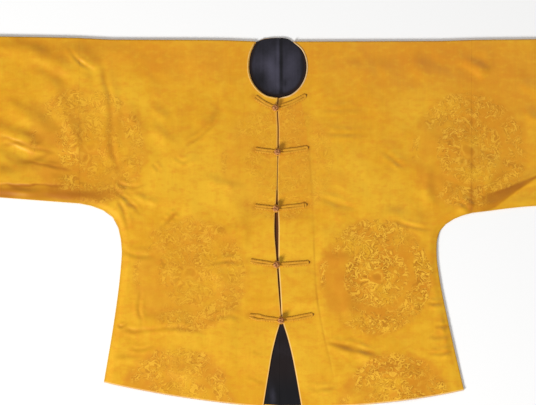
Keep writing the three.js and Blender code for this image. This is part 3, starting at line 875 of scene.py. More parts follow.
def soften(piece: Piece, degrees: float = 50) -> None:
    """Shades a piece smooth, apart from its edges that are sharper than an angle."""
    bpy.ops.object.select_all(action="DESELECT")
    piece.select_set(True)
    bpy.context.view_layer.objects.active = piece
    bpy.ops.object.shade_smooth_by_angle(angle=math.radians(degrees))
    piece.select_set(False)


@dataclass(frozen=True)
class Tube:
    """A closed cord along a path.

    Attributes:
        path: The places of its middle.
        width: Its width at each place, across the path and level.
        height: Its height at each place.
        around: The number of sides.
    """

    path: Array
    width: Array
    height: Array
    around: int = 14

    def mesh(self, first: int) -> tuple[Array, Array, Array]:
        """Returns its places, squares and triangles, numbered from a first vertex."""
        n, k = len(self.path), self.around
        forward = np.gradient(self.path, axis=0)
        forward /= np.maximum(np.linalg.norm(forward, axis=1), 1e-9)[:, None]
        level = np.cross(forward, [0.0, 0.0, 1.0])
        steep = np.linalg.norm(level, axis=1) < 0.15
        level[steep] = np.cross(forward[steep], [0.0, 1.0, 0.0])
        for i in range(1, n):
            if (level[i] * level[i - 1]).sum() < 0:
                level[i] = -level[i]
        level /= np.linalg.norm(level, axis=1)[:, None]
        up = np.cross(level, forward)
        angle = 2 * np.pi * np.arange(k) / k
        side = level[:, None] * np.cos(angle)[None, :, None] * (self.width / 2)[:, None, None]
        rise = up[:, None] * np.sin(angle)[None, :, None] * (self.height / 2)[:, None, None]
        rings = (self.path[:, None] + side + rise).reshape(-1, 3)
        places = np.vstack([rings, self.path[:1], self.path[-1:]])
        a = np.arange((n - 1) * k).reshape(n - 1, k)
        b = np.roll(a, -1, axis=1)
        squares = np.stack([a, b, b + k, a + k], axis=-1).reshape(-1, 4)
        start, last = np.arange(k), (n - 1) * k + np.arange(k)
        cap_a = np.stack([np.full(k, n * k), np.roll(start, -1), start], axis=1)
        cap_b = np.stack([np.full(k, n * k + 1), last, np.roll(last, -1)], axis=1)
        return places, squares + first, np.vstack([cap_a, cap_b]) + first


def tubes_piece(name: str, tubes: list[Tube]) -> Piece:
    """Makes one piece of several cords, with a UV map that runs along and round each."""
    places, squares, triangles, uvs, count = [], [], [], [], 0
    for tube in tubes:
        p, s, t = tube.mesh(count)
        places.append(p)
        squares.append(s)
        triangles.append(t)
        length = float(np.linalg.norm(np.diff(tube.path, axis=0), axis=1).sum())
        u = lengths_along(tube.path) * length
        v = np.abs(np.arange(tube.around) / tube.around - 0.5) * 2 * float(tube.width.max())
        uvs.append(np.stack([np.repeat(u, tube.around), np.tile(v, len(u))], axis=1))
        uvs.append(np.array([[0.0, 0.0], [length, 0.0]]))
        count += len(p)
    piece = make_mesh(name, np.vstack(places), [np.vstack(squares), np.vstack(triangles)], np.vstack(uvs))
    bpy.context.view_layer.objects.active = piece
    bpy.ops.object.select_all(action="DESELECT")
    piece.select_set(True)
    bpy.ops.object.mode_set(mode="EDIT")
    bpy.ops.mesh.select_all(action="SELECT")
    bpy.ops.mesh.normals_make_consistent(inside=False)
    bpy.ops.object.mode_set(mode="OBJECT")
    piece.select_set(False)
    return piece


# ---- Shader graphs ----


Value = float | Socket


class Graph:
    """Adds nodes to a shader tree and joins them up."""

    def __init__(self, tree: Tree) -> None:
        """Takes the tree that the nodes go into."""
        self.tree = tree

    def feed(self, socket: Socket, value: object) -> None:
        """Links a socket to another, or sets its value."""
        if isinstance(value, Socket):
            self.tree.links.new(value, socket)
        elif value is not None:
            socket.default_value = value

    def add(
        self, kind: str, inputs: dict[int | str, object] | None = None, **settings: object
    ) -> Node:
        """Adds a node.

        Args:
            kind: Its type, without the ShaderNode at the front.
            inputs: Sockets or values for its inputs, by name or number.
            **settings: Its other properties.
        """
        node = self.tree.nodes.new("ShaderNode" + kind)
        for key, value in settings.items():
            setattr(node, key, value)
        for key, value in (inputs or {}).items():
            self.feed(node.inputs[key], value)
        return node

    def math(self, operation: str, a: Value, b: Value | None = None, c: Value | None = None) -> Socket:
        """Adds a math node and returns its result."""
        return self.add("Math", {0: a, 1: b, 2: c}, operation=operation).outputs[0]

    def times(self, *values: Value) -> Value:
        """Multiplies values."""
        return functools.reduce(lambda a, b: self.math("MULTIPLY", a, b), values)

    def most(self, *values: Value) -> Value:
        """Returns the largest of some values."""
        return functools.reduce(lambda a, b: self.math("MAXIMUM", a, b), values)

    def layered(self, color: object, layers: list[tuple[Value, Value, Color]]) -> object:
        """Lays colours over a first one.

        Args:
            color: The first colour.
            layers: For each further one its mask, how far it covers, and the colour.
        """
        for mask, amount, over in layers:
            color = self.blend(self.times(mask, amount), color, over)
        return color

    def vector(self, operation: str, a: object, b: object = None) -> Node:
        """Adds a vector math node."""
        return self.add("VectorMath", {0: a, 1: b}, operation=operation)

    def step(self, value: Value, low: float, high: float) -> Socket:
        """Returns 0 at low and 1 at high, smooth between them. Low may be the larger."""
        ends = {"Value": value, "From Min": min(low, high), "From Max": max(low, high)}
        ends |= {"To Min": 0.0 if low < high else 1.0, "To Max": 1.0 if low < high else 0.0}
        node = self.add("MapRange", ends, interpolation_type="SMOOTHSTEP")
        return node.outputs["Result"]

    def blend(self, factor: Value, a: object, b: object, mode: str = "MIX") -> Socket:
        """Mixes two colours."""
        node = self.add("Mix", data_type="RGBA", blend_type=mode)
        for number, value in ((0, factor), (6, a), (7, b)):
            self.feed(node.inputs[number], value)
        return node.outputs[2]

    def noise(self, place: object, scale: Value, detail: float = 2.0, distortion: float = 0.0) -> Socket:
        """Adds a noise texture and returns its value."""
        settings = {"Vector": place, "Scale": scale, "Detail": detail, "Distortion": distortion}
        return self.add("TexNoise", settings).outputs["Fac"]

    def stretched(self, place: object, scale: tuple[float, float, float]) -> Socket:
        """Scales a place by a different amount along each axis."""
        return self.add("Mapping", {"Vector": place, "Scale": scale}).outputs[0]


def new_group(name: str, inputs: dict[str, str], outputs: dict[str, str]) -> tuple[Graph, dict, dict]:
    """Starts a shader node group.

    Args:
        name: The group's name.
        inputs: The kind of socket for each input's name.
        outputs: The same for the outputs.

    Returns:
        The graph, the input sockets by name and the output sockets by name.
    """
    tree = bpy.data.node_groups.new(name, "ShaderNodeTree")
    for title, kind in inputs.items():
        tree.interface.new_socket(title, in_out="INPUT", socket_type="NodeSocket" + kind)
    for title, kind in outputs.items():
        tree.interface.new_socket(title, in_out="OUTPUT", socket_type="NodeSocket" + kind)
    source, sink = tree.nodes.new("NodeGroupInput"), tree.nodes.new("NodeGroupOutput")
    return Graph(tree), dict(source.outputs.items()), dict(sink.inputs.items())


class Effects:
    """The shader effects that several materials share, each a node group made once."""

    CLOUDS = (
        (96, 44, 0.56, 1.0),
        (14, 26, 0.66, 0.97),
        (-38, 26, 0.62, 1.0),
        (-84, 42, 0.62, 1.02),
        (178, 9, 0.86, 1.0),
        (140, 8, 0.74, 0.9),
    )
    """The clouds of a roundel's border: their way and half angle in degrees, and two radii."""

    def __init__(self) -> None:
        """Builds the groups."""
        self.weave = self._weave()
        self.tone = self._tone()
        self.roundel = self._roundel()

    @staticmethod
    def _weave() -> Tree:
        """Satin: fine yarns both ways, with slubs that run along the warp."""
        g, i, o = new_group(
            "satin_weave",
            {"Place": "Vector", "Pitch": "Float"},
            {"Height": "Float", "Streak": "Float"},
        )
        turns = g.math("DIVIDE", 2 * math.pi, i["Pitch"])
        axes = g.add("SeparateXYZ", {0: i["Place"]})
        warp = g.math("SINE", g.times(axes.outputs[0], turns))
        weft = g.math("SINE", g.times(axes.outputs[1], g.times(turns, 0.6)))
        slub = g.noise(g.stretched(i["Place"], (900, 45, 1)), 1.0, 3.0)
        yarns = g.math("MULTIPLY_ADD", warp, 0.35, g.times(weft, 0.2))
        g.feed(o["Height"], g.math("ADD", yarns, g.times(slub, 1.4)))
        wide = g.noise(g.stretched(i["Place"], (260, 14, 1)), 1.0, 4.0)
        g.feed(o["Streak"], g.math("MULTIPLY_ADD", wide, 0.7, g.times(slub, 0.3)))
        return g.tree

    @staticmethod
    def _tone() -> Tree:
        """Uneven colour, in broad patches with smaller ones inside them."""
        g, i, o = new_group("uneven_tone", {"Place": "Vector", "Scale": "Float"}, {"Tone": "Float"})
        broad = g.noise(i["Place"], i["Scale"], 2.0)
        fine = g.noise(i["Place"], g.times(i["Scale"], 7.0), 4.0)
        g.feed(o["Tone"], g.math("MULTIPLY_ADD", broad, 0.7, g.times(fine, 0.3)))
        return g.tree

    @staticmethod
    def _sector(g: Graph, across: Value, up: Value, degrees: float, half: float) -> Socket:
        """Returns 1 within an angle of a direction from the roundel's middle, and 0 outside it."""
        way = math.radians(degrees)
        along = g.math("MULTIPLY_ADD", across, math.cos(way), g.times(up, math.sin(way)))
        edge = math.radians(half)
        return g.step(along, math.cos(edge + 0.16), math.cos(max(edge - 0.16, 0.02)))

    @staticmethod
    def _curls(
        g: Graph, place: Value, shift: tuple[float, float, float], scale: float, kept: float
    ) -> tuple[Value, Value]:
        """Lays short curling strokes.

        Args:
            g: The graph.
            place: The place on the roundel.
            shift: Picks the strokes.
            scale: How close together they lie.
            kept: Where lower, more of them are kept.

        Returns:
            The strokes, and a wider band that takes in what lies beside them.
        """
        moved = g.vector("ADD", place, shift).outputs[0]
        off = g.math("ABSOLUTE", g.math("SUBTRACT", g.noise(moved, scale, 1.0, 1.1), 0.5))
        aside = g.vector("ADD", moved, (9.0, 9.0, 9.0)).outputs[0]
        keep = g.step(g.noise(aside, 8.5, 1.0), kept, kept + 0.1)
        return g.times(g.step(off, 0.042, 0.016), keep), g.times(g.step(off, 0.12, 0.06), keep)

    @classmethod
    def _roundel(cls) -> Tree:
        """A woven roundel: a jewel in a nest of curls, and clouds round the border.

        Place runs from -1 to 1 across the roundel, with a number for its own variation as Z.
        """
        g, i, o = new_group(
            "woven_roundel",
            {"Place": "Vector", "Reach": "Float"},
            {"Ground": "Float", "Figure": "Float", "Shade": "Float"},
        )
        bend = g.add("TexNoise", {"Vector": i["Place"], "Scale": 4.2, "Detail": 3.0})
        shift = g.vector("SUBTRACT", bend.outputs["Color"], (0.5, 0.5, 0.5)).outputs[0]
        shift = g.vector("MULTIPLY", shift, (0.26, 0.26, 0.0)).outputs[0]
        place = g.vector("ADD", i["Place"], shift).outputs[0]
        axes = g.add("SeparateXYZ", {0: place})
        radius = g.vector("LENGTH", g.vector("MULTIPLY", place, (1.0, 1.0, 0.0)).outputs[0]).outputs["Value"]
        safe = g.most(radius, 0.01)
        across, up = (g.math("DIVIDE", axis, safe) for axis in axes.outputs[:2])
        angle = g.math("ARCTAN2", axes.outputs[1], axes.outputs[0])

        curls = [
            cls._curls(g, place, (0.0, 0.0, 0.0), 7.6, 0.40),
            cls._curls(g, place, (3.1, 1.7, 5.0), 9.4, 0.44),
            cls._curls(g, place, (7.3, 4.4, 2.0), 12.5, 0.50),
        ]
        line = g.most(curls[0][0], curls[1][0], curls[2][0])
        beside_line = g.most(curls[0][1], curls[1][1])

        where = g.step(radius, 0.6, 0.5)
        for degrees, half, low, high in cls.CLOUDS:
            band = g.times(g.step(radius, low - 0.03, low + 0.03), g.step(radius, high, high - 0.05))
            where = g.most(where, g.times(band, cls._sector(g, across, up, degrees, half)))
        broken = g.step(g.noise(place, 8.0, 1.0), 0.42, 0.56)
        jewel = g.times(g.step(radius, 0.07, 0.085), g.step(radius, 0.125, 0.11), broken, 0.5)
        turn = g.math("SINE", g.math("MULTIPLY_ADD", radius, 11.0, g.times(angle, 11.0)))
        rays = g.times(g.step(radius, 0.14, 0.17), g.step(radius, 0.34, 0.24))
        rays = g.times(rays, cls._sector(g, across, up, 205, 78), broken)
        lit_rays = g.times(rays, g.step(turn, 0.45, 0.85))
        dark_rays = g.times(rays, g.step(turn, -0.3, -0.8))
        where = g.times(where, g.step(radius, 0.13, 0.15), g.math("MULTIPLY_ADD", rays, -0.7, 1.0))
        figure = g.most(g.times(where, line), lit_rays, jewel)
        # Painted shade beside the curls, as if they stood up from the ground.
        shade = g.times(where, beside_line, g.math("SUBTRACT", 1.0, line))
        shade = g.most(shade, dark_rays, g.times(g.step(radius, 0.09, 0.03), 0.4))

        ragged = g.math("MULTIPLY_ADD", g.noise(i["Place"], 7.0, 4.0), 0.24, i["Reach"])
        ground = g.step(ragged, 1.19, 1.04)
        g.feed(o["Ground"], g.times(ground, g.step(g.noise(i["Place"], 2.6, 3.0), 0.2, 0.62)))
        g.feed(o["Shade"], g.times(shade, ground))
        g.feed(o["Figure"], g.times(figure, ground))
        return g.tree

    @staticmethod
    def use(g: Graph, group: Tree, inputs: dict[str, object]) -> Node:
        """Places a group in a material."""
        node = g.tree.nodes.new("ShaderNodeGroup")
        node.node_tree = group
        for key, value in inputs.items():
            g.feed(node.inputs[key], value)
        return node


def start_material(name: str, preview: Color) -> tuple[Material, Graph, Node]:
    """Starts a material.

    Args:
        name: Its name.
        preview: The colour that stands for it outside a render.

    Returns:
        The material, its graph and its Principled shader, joined to the output.
    """
    material = bpy.data.materials.new(name)
    material.use_nodes = True
    material.diffuse_color = preview
    material.node_tree.nodes.clear()
    g = Graph(material.node_tree)
    shader = g.add("BsdfPrincipled")
    sink = g.add("OutputMaterial")
    g.feed(sink.inputs["Surface"], shader.outputs[0])
    return material, g, shader


def finish_surface(
    g: Graph, shader: Node, relief: tuple[float, float, Value], sheen: float, specular: float
) -> None:
    """Gives a shader its relief, as strength, depth and height, and its sheen and reflection."""
    bump = g.add("Bump", dict(zip(("Strength", "Distance", "Height"), relief)))
    g.feed(shader.inputs["Normal"], bump.outputs[0])
    shader.inputs["Sheen Weight"].default_value = sheen
    shader.inputs["Specular IOR Level"].default_value = specular


@dataclass(frozen=True)
class FiguredSilk:
    """The jacket's own silk: gold satin with matt orange roundels figured in yellow.

    Attributes:
        satin: The silk's own colour.
        bright: Yellower, in random patches and as painted sheen.
        warm: More orange, in random patches and as painted shade.
        streak: What a slub's colour is multiplied by.
        side_shade: Painted shade at the sides and the shoulder fold, where the cloth rolls away.
        ground: In a roundel.
        figure: On a roundel's curls.
        shade: Painted shade beside them.
        painted_shade: Painted shade in folds and on creases, beside the frogs and along the seams.
        pale: A painted highlight on the rounded free edges.
        wall: Painted shade on the edge's own thickness, as in the slit between the fronts.
        pitch: The width of a yarn.
        sheen: How far it glows at grazing angles.
        specular: How strongly it reflects.
    """

    satin: Color = (0.70, 0.328, 0.010, 1)
    bright: Color = (0.80, 0.445, 0.022, 1)
    warm: Color = (0.672, 0.238, 0.012, 1)
    streak: Color = (1.04, 1.035, 1.0, 1)
    side_shade: Color = (0.44, 0.25, 0.012, 1)
    ground: Color = (0.635, 0.235, 0.009, 1)
    figure: Color = (0.93, 0.53, 0.045, 1)
    shade: Color = (0.43, 0.165, 0.006, 1)
    painted_shade: Color = (0.43, 0.145, 0.005, 1)
    pale: Color = (0.98, 0.66, 0.25, 1)
    wall: Color = (0.24, 0.062, 0.002, 1)
    pitch: float = 0.5 * MM
    sheen: float = 0.02
    specular: float = 0.2

    def material(self, effects: Effects) -> Material:
        """Builds the material."""
        material, g, shader = start_material("figured_silk", self.satin)
        uv = g.add("UVMap", uv_map=CUT).outputs[0]
        weave = effects.use(g, effects.weave, {"Place": uv, "Pitch": self.pitch})
        tone = effects.use(g, effects.tone, {"Place": uv, "Scale": 7.0}).outputs["Tone"]
        faded = effects.use(g, effects.tone, {"Place": g.stretched(uv, (1.0, 2.2, 1.0)), "Scale": 19.0})
        mottle = g.noise(g.stretched(uv, (1.0, 1.5, 1.0)), 70.0, 2.0)
        place = g.add("Attribute", attribute_name="roundel").outputs["Vector"]
        reach, shown, edge, rim, glow, side, painted_shade = (
            g.add("Attribute", attribute_name=name).outputs["Fac"]
            for name in ("reach", "shown", "edge", "rim", "glow", "side", "painted_shade")
        )
        roundel = effects.use(g, effects.roundel, {"Place": place, "Reach": reach}).outputs
        # Random tone, and the broad painted sheen and shade.
        color = g.layered(
            self.satin,
            [
                (g.step(tone, 0.36, 0.64), 0.8, self.bright),
                (g.step(glow, 0.0, -1.2), 0.95, self.warm),
                (g.step(glow, 0.0, 1.0), 0.7, self.bright),
                (g.step(faded.outputs["Tone"], 0.52, 0.38), 0.3, self.warm),
                (g.step(mottle, 0.5, 0.7), 0.3, self.warm),
                (g.step(mottle, 0.48, 0.3), 0.25, self.bright),
            ],
        )
        streak = weave.outputs["Streak"]
        color = g.blend(g.step(streak, 0.35, 0.7), color, self.streak, "MULTIPLY")
        # Then the roundels, painted shade in folds, creases and along the sides, a painted highlight on the
        # free edges, and painted shade on their own thickness.
        color = g.layered(
            color,
            [
                (roundel["Ground"], g.times(shown, 0.62), self.ground),
                (roundel["Shade"], g.times(shown, 0.55), self.shade),
                (roundel["Figure"], g.times(shown, 0.52), self.figure),
                (painted_shade, 0.82, self.painted_shade),
                (g.step(side, 4.5 * MM, 0.5 * MM), 0.4, self.side_shade),
                (g.step(edge, 3.2 * MM, 1.8 * MM), rim, self.pale),
                (g.step(edge, 1.1 * MM, 0.5 * MM), 0.85, self.wall),
            ],
        )
        g.feed(shader.inputs["Base Color"], color)
        rough = g.math("MULTIPLY_ADD", roundel["Ground"], 0.14, 0.44)
        rough = g.math("MULTIPLY_ADD", roundel["Figure"], -0.16, rough)
        rough = g.math("MULTIPLY_ADD", streak, 0.1, g.math("SUBTRACT", rough, 0.05))
        g.feed(shader.inputs["Roughness"], rough)
        raised = g.math("MULTIPLY_ADD", roundel["Figure"], 3.0, weave.outputs["Height"])
        finish_surface(g, shader, (0.35, 0.05 * MM, raised), self.sheen, self.specular)
        shader.inputs["Sheen Roughness"].default_value = 0.4
        return material


@dataclass(frozen=True)
class PlainSilk:
    """A silk of one colour, such as the navy lining, the neck edging or the cord.

    Attributes:
        name: The material's name.
        base: Its colour.
        light: The colour of its lighter patches.
        pitch: The width of a yarn.
        tone_scale: How many patches go into a metre.
        relief: How far the yarns stand out.
        roughness: How dull it is.
        sheen: How far it glows at grazing angles.
    """

    name: str
    base: Color
    light: Color
    pitch: float
    tone_scale: float
    relief: float
    roughness: float
    sheen: float = 0.1

    def material(self, effects: Effects) -> Material:
        """Builds the material."""
        material, g, shader = start_material(self.name, self.base)
        uv = g.add("UVMap", uv_map=CUT).outputs[0]
        weave = effects.use(g, effects.weave, {"Place": uv, "Pitch": self.pitch})
        tone = effects.use(g, effects.tone, {"Place": uv, "Scale": self.tone_scale}).outputs["Tone"]
        mixed = g.math("MULTIPLY_ADD", weave.outputs["Streak"], 0.5, g.times(tone, 0.5))
        g.feed(shader.inputs["Base Color"], g.blend(g.step(mixed, 0.36, 0.64), self.base, self.light))
        rough = g.math("MULTIPLY_ADD", tone, 0.12, self.roughness - 0.06)
        g.feed(shader.inputs["Roughness"], rough)
        finish_surface(g, shader, (0.4, self.relief, weave.outputs["Height"]), self.sheen, 0.2)
        return material


@dataclass(frozen=True)
class NavySilk:
    """The lining's navy silk, lighter with painted sheen and browner with painted shade under the front
    edges.
    """

    dark: Color = (0.0065, 0.006, 0.0078, 1)
    light: Color = (0.074, 0.069, 0.102, 1)
    brown: Color = (0.17, 0.048, 0.002, 1)
    pitch: float = 0.6 * MM

    def material(self, effects: Effects) -> Material:
        """Builds the material."""
        material, g, shader = start_material("navy_lining", (0.02, 0.02, 0.03, 1))
        uv = g.add("UVMap", uv_map=CUT).outputs[0]
        weave = effects.use(g, effects.weave, {"Place": uv, "Pitch": self.pitch})
        tone = effects.use(g, effects.tone, {"Place": uv, "Scale": 26.0}).outputs["Tone"]
        lit = g.add("Attribute", attribute_name="lit").outputs["Fac"]
        under = g.add("Attribute", attribute_name="under").outputs["Fac"]
        mixed = g.math("MULTIPLY_ADD", g.math("SUBTRACT", tone, 0.5), 0.5, lit)
        mixed = g.math("MULTIPLY_ADD", g.math("SUBTRACT", weave.outputs["Streak"], 0.5), 0.25, mixed)
        color = g.blend(g.step(mixed, -0.1, 1.1), self.dark, self.light)
        g.feed(shader.inputs["Base Color"], g.blend(under, color, self.brown))
        g.feed(shader.inputs["Roughness"], g.math("MULTIPLY_ADD", tone, 0.12, 0.5))
        finish_surface(g, shader, (0.3, 0.03 * MM, weave.outputs["Height"]), 0.02, 0.15)
        return material


NAVY = NavySilk()
CREAM = PlainSilk(
    "cream_edging", (0.62, 0.36, 0.13, 1), (0.80, 0.56, 0.27, 1), 0.5 * MM, 60.0, 0.05 * MM, 0.55
)
GOLD_EDGE = PlainSilk(
    "gold_edging", (0.66, 0.37, 0.07, 1), (0.82, 0.52, 0.14, 1), 0.5 * MM, 60.0, 0.05 * MM, 0.55
)
CORD = PlainSilk(
    "gold_cord", (0.56, 0.24, 0.011, 1), (0.72, 0.345, 0.020, 1), 0.9 * MM, 90.0, 0.06 * MM, 0.6, 0.02
)
KNOT = PlainSilk(
    "dark_knot_cord", (0.37, 0.135, 0.034, 1), (0.58, 0.265, 0.09, 1), 0.8 * MM, 160.0, 0.12 * MM, 0.6, 0.03
)
# The thread's dark brown also stands for painted shade along the straps.
THREAD = PlainSilk(
    "tacking_thread", (0.17, 0.055, 0.005, 1), (0.27, 0.095, 0.009, 1), 0.3 * MM, 200.0, 0.03 * MM, 0.6, 0.02
)

Finish = FiguredSilk | PlainSilk | NavySilk


# ---- Cloth pieces ----


ROUNDEL_RADIUS = 117 * MM
ROUNDELS = (
    (1, 118, 0.5),
    (-175, -106, 0.72),
    (197, -110, 1.25),
    (-375, 148, 0.8),
    (381, 142, 0.95),
    (-201, -368, 0.9),
    (239, -378, 1.2),
    (-752, 160, 0.85),
    (760, 148, 0.85),
)
# The middles of the woven roundels in millimetres, and how plainly each shows.
"""The middles of the woven roundels in millimetres, and how plainly each still shows."""

SHEEN_AND_SHADE = (
    (-140, 60, 170, 46, 0.75),
    (190, 62, 170, 44, 0.7),
    (-90, -250, 110, 70, 0.55),
    (60, -250, 90, 80, 0.55),
    (-500, 250, 150, 60, -0.25),
    (-215, 320, 200, 60, -0.65),
    (-470, 352, 170, 26, -0.4),
    (260, 325, 240, 60, -0.75),
    (500, 250, 160, 110, -0.55),
    (200, 230, 120, 60, -0.25),
    (-150, 160, 90, 70, 0.35),
    (-175, -106, 110, 100, 0.3),
    (-201, -340, 90, 60, 0.3),
    (-360, 110, 60, 40, -0.3),
    (-320, 20, 60, 70, -0.3),
    (300, 30, 60, 60, -0.45),
    (480, 110, 120, 60, -0.35),
    (-520, 272, 44, 26, 0.45),
    (-384, 304, 26, 20, 0.5),
    (-292, 236, 30, 60, 0.45),
    (-262, 150, 56, 44, 0.4),
    (-560, 128, 50, 26, 0.5),
)
# Patches of painted sheen, and of painted shade, warmer, where negative.
"""Patches where years of light have turned the silk brighter, or warmer where negative.

Each is x, y, its reach along x and along y, in millimetres, and how much.
"""


@dataclass(frozen=True)
class SilkValues:
    """What the figured silk's material needs to know at each place of a piece.

    Attributes:
        x: The places' x.
        y: The places' y.
        top: Whether each lies on the front.
        shift: How far the piece's roundels are from their usual places, in millimetres.
        plain: How much more plainly they show on it.
    """

    x: Array
    y: Array
    top: Array
    shift: Place = (0.0, 0.0)
    plain: float = 1.0

    def store(self, piece: Piece) -> None:
        """Stores the place on the nearest roundel, the painted shade, and the broad painted sheen and shade
        on a piece's vertices.
        """
        best = np.full(self.x.shape, np.inf)
        place = np.zeros((len(self.x), 3))
        shown = np.zeros(self.x.shape)
        for number, (cx, cy, plain) in enumerate(ROUNDELS):
            u = (self.x - (cx + self.shift[0]) * MM) / ROUNDEL_RADIUS
            v = (self.y - (cy + self.shift[1]) * MM) / ROUNDEL_RADIUS
            reach = np.hypot(u, v)
            nearer = reach < best
            best = np.where(nearer, reach, best)
            values = np.stack([u, v, np.full(u.shape, 3.7 * number)], axis=1)
            place = np.where(nearer[:, None], values, place)
            shown = np.where(nearer, plain, shown)
        uneven = 1 + 0.3 * soft_noise(self.x, self.y, 50 * MM, 65)
        set_values(piece, "painted_shade", LIE.painted_shade_depth(self.x, self.y) * self.top)
        set_values(piece, "roundel", place)
        set_values(piece, "reach", best)
        set_values(piece, "shown", self.plain * shown * uneven)
        set_values(piece, "glow", np.clip(self._glow(), -1.2, 1.2))

    def _glow(self) -> Array:
        """Returns the painted sheen and shade: how much yellower, or where negative more orange, the silk
        is. The strip between the facing's edge and the opening is darker in its upper part, with a painted
        highlight just past that edge.
        """
        glow = patches(self.x, self.y, SHEEN_AND_SHADE)
        line = smoothed(np.array(FACING_LINE.path, dtype=float) * MM, 6)
        past = beside(self.x, self.y, line)[1]
        strip = eased(-past, 0, 2 * MM) * (self.x > 0) * eased(self.y, -60 * MM, 90 * MM)
        glow -= 0.55 * strip * eased(-self.y, -250 * MM, -236 * MM)
        return glow + 0.3 * np.exp(-(((past - 3.2 * MM) / (2.4 * MM)) ** 2)) * (self.y < 240 * MM)


@dataclass(frozen=True)
class SilkShell:
    """A wall of figured silk, and what its material needs to know of its edges.

    Attributes:
        skin: The wall.
        edge: How far each of its outer vertices is from a free edge.
        side: The same from the side seam and the shoulder.
    """

    skin: Skin
    edge: Array
    side: Array

    def piece(
        self, name: str, shift: Place = (0.0, 0.0), plain: float = 1.0
    ) -> tuple[Piece, Array]:
        """Makes the piece and stores the values on it.

        Args:
            name: The piece's name.
            shift: How far its roundels are from their usual places, in millimetres.
            plain: How much more plainly they show on it.

        Returns:
            The piece and its vertices' places.
        """
        piece, places, pick = self.skin.piece(name)
        SilkValues(places[:, 0], places[:, 1], places[:, 2] > ON_FRONT, shift, plain).store(piece)
        set_values(piece, "edge", self.edge[pick])
        set_values(piece, "side", self.side[pick])
        soften(piece)
        return piece, places


@dataclass
class Dresser:
    """Gives pieces their materials and says what each stands for."""

    effects: Effects
    made: dict[str, Material]

    def dress(self, piece: Piece, finish: Finish, slot: str, *nodes: str) -> None:
        """Finishes a piece.

        Args:
            piece: The piece.
            finish: Its finish, built once and then shared.
            slot: The name of a material slot; not used.
            *nodes: The frame's nodes that it stands for.
        """
        key = repr(finish)
        if key not in self.made:
            self.made[key] = finish.material(self.effects)
        piece.data.materials.append(self.made[key])
        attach(piece, ROOT)
        if nodes:
            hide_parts(*nodes)
        vertices = len(piece.data.vertices)
        log.info("%s: %d vertices, stands for %s", piece.name, vertices, ", ".join(nodes) or "none")


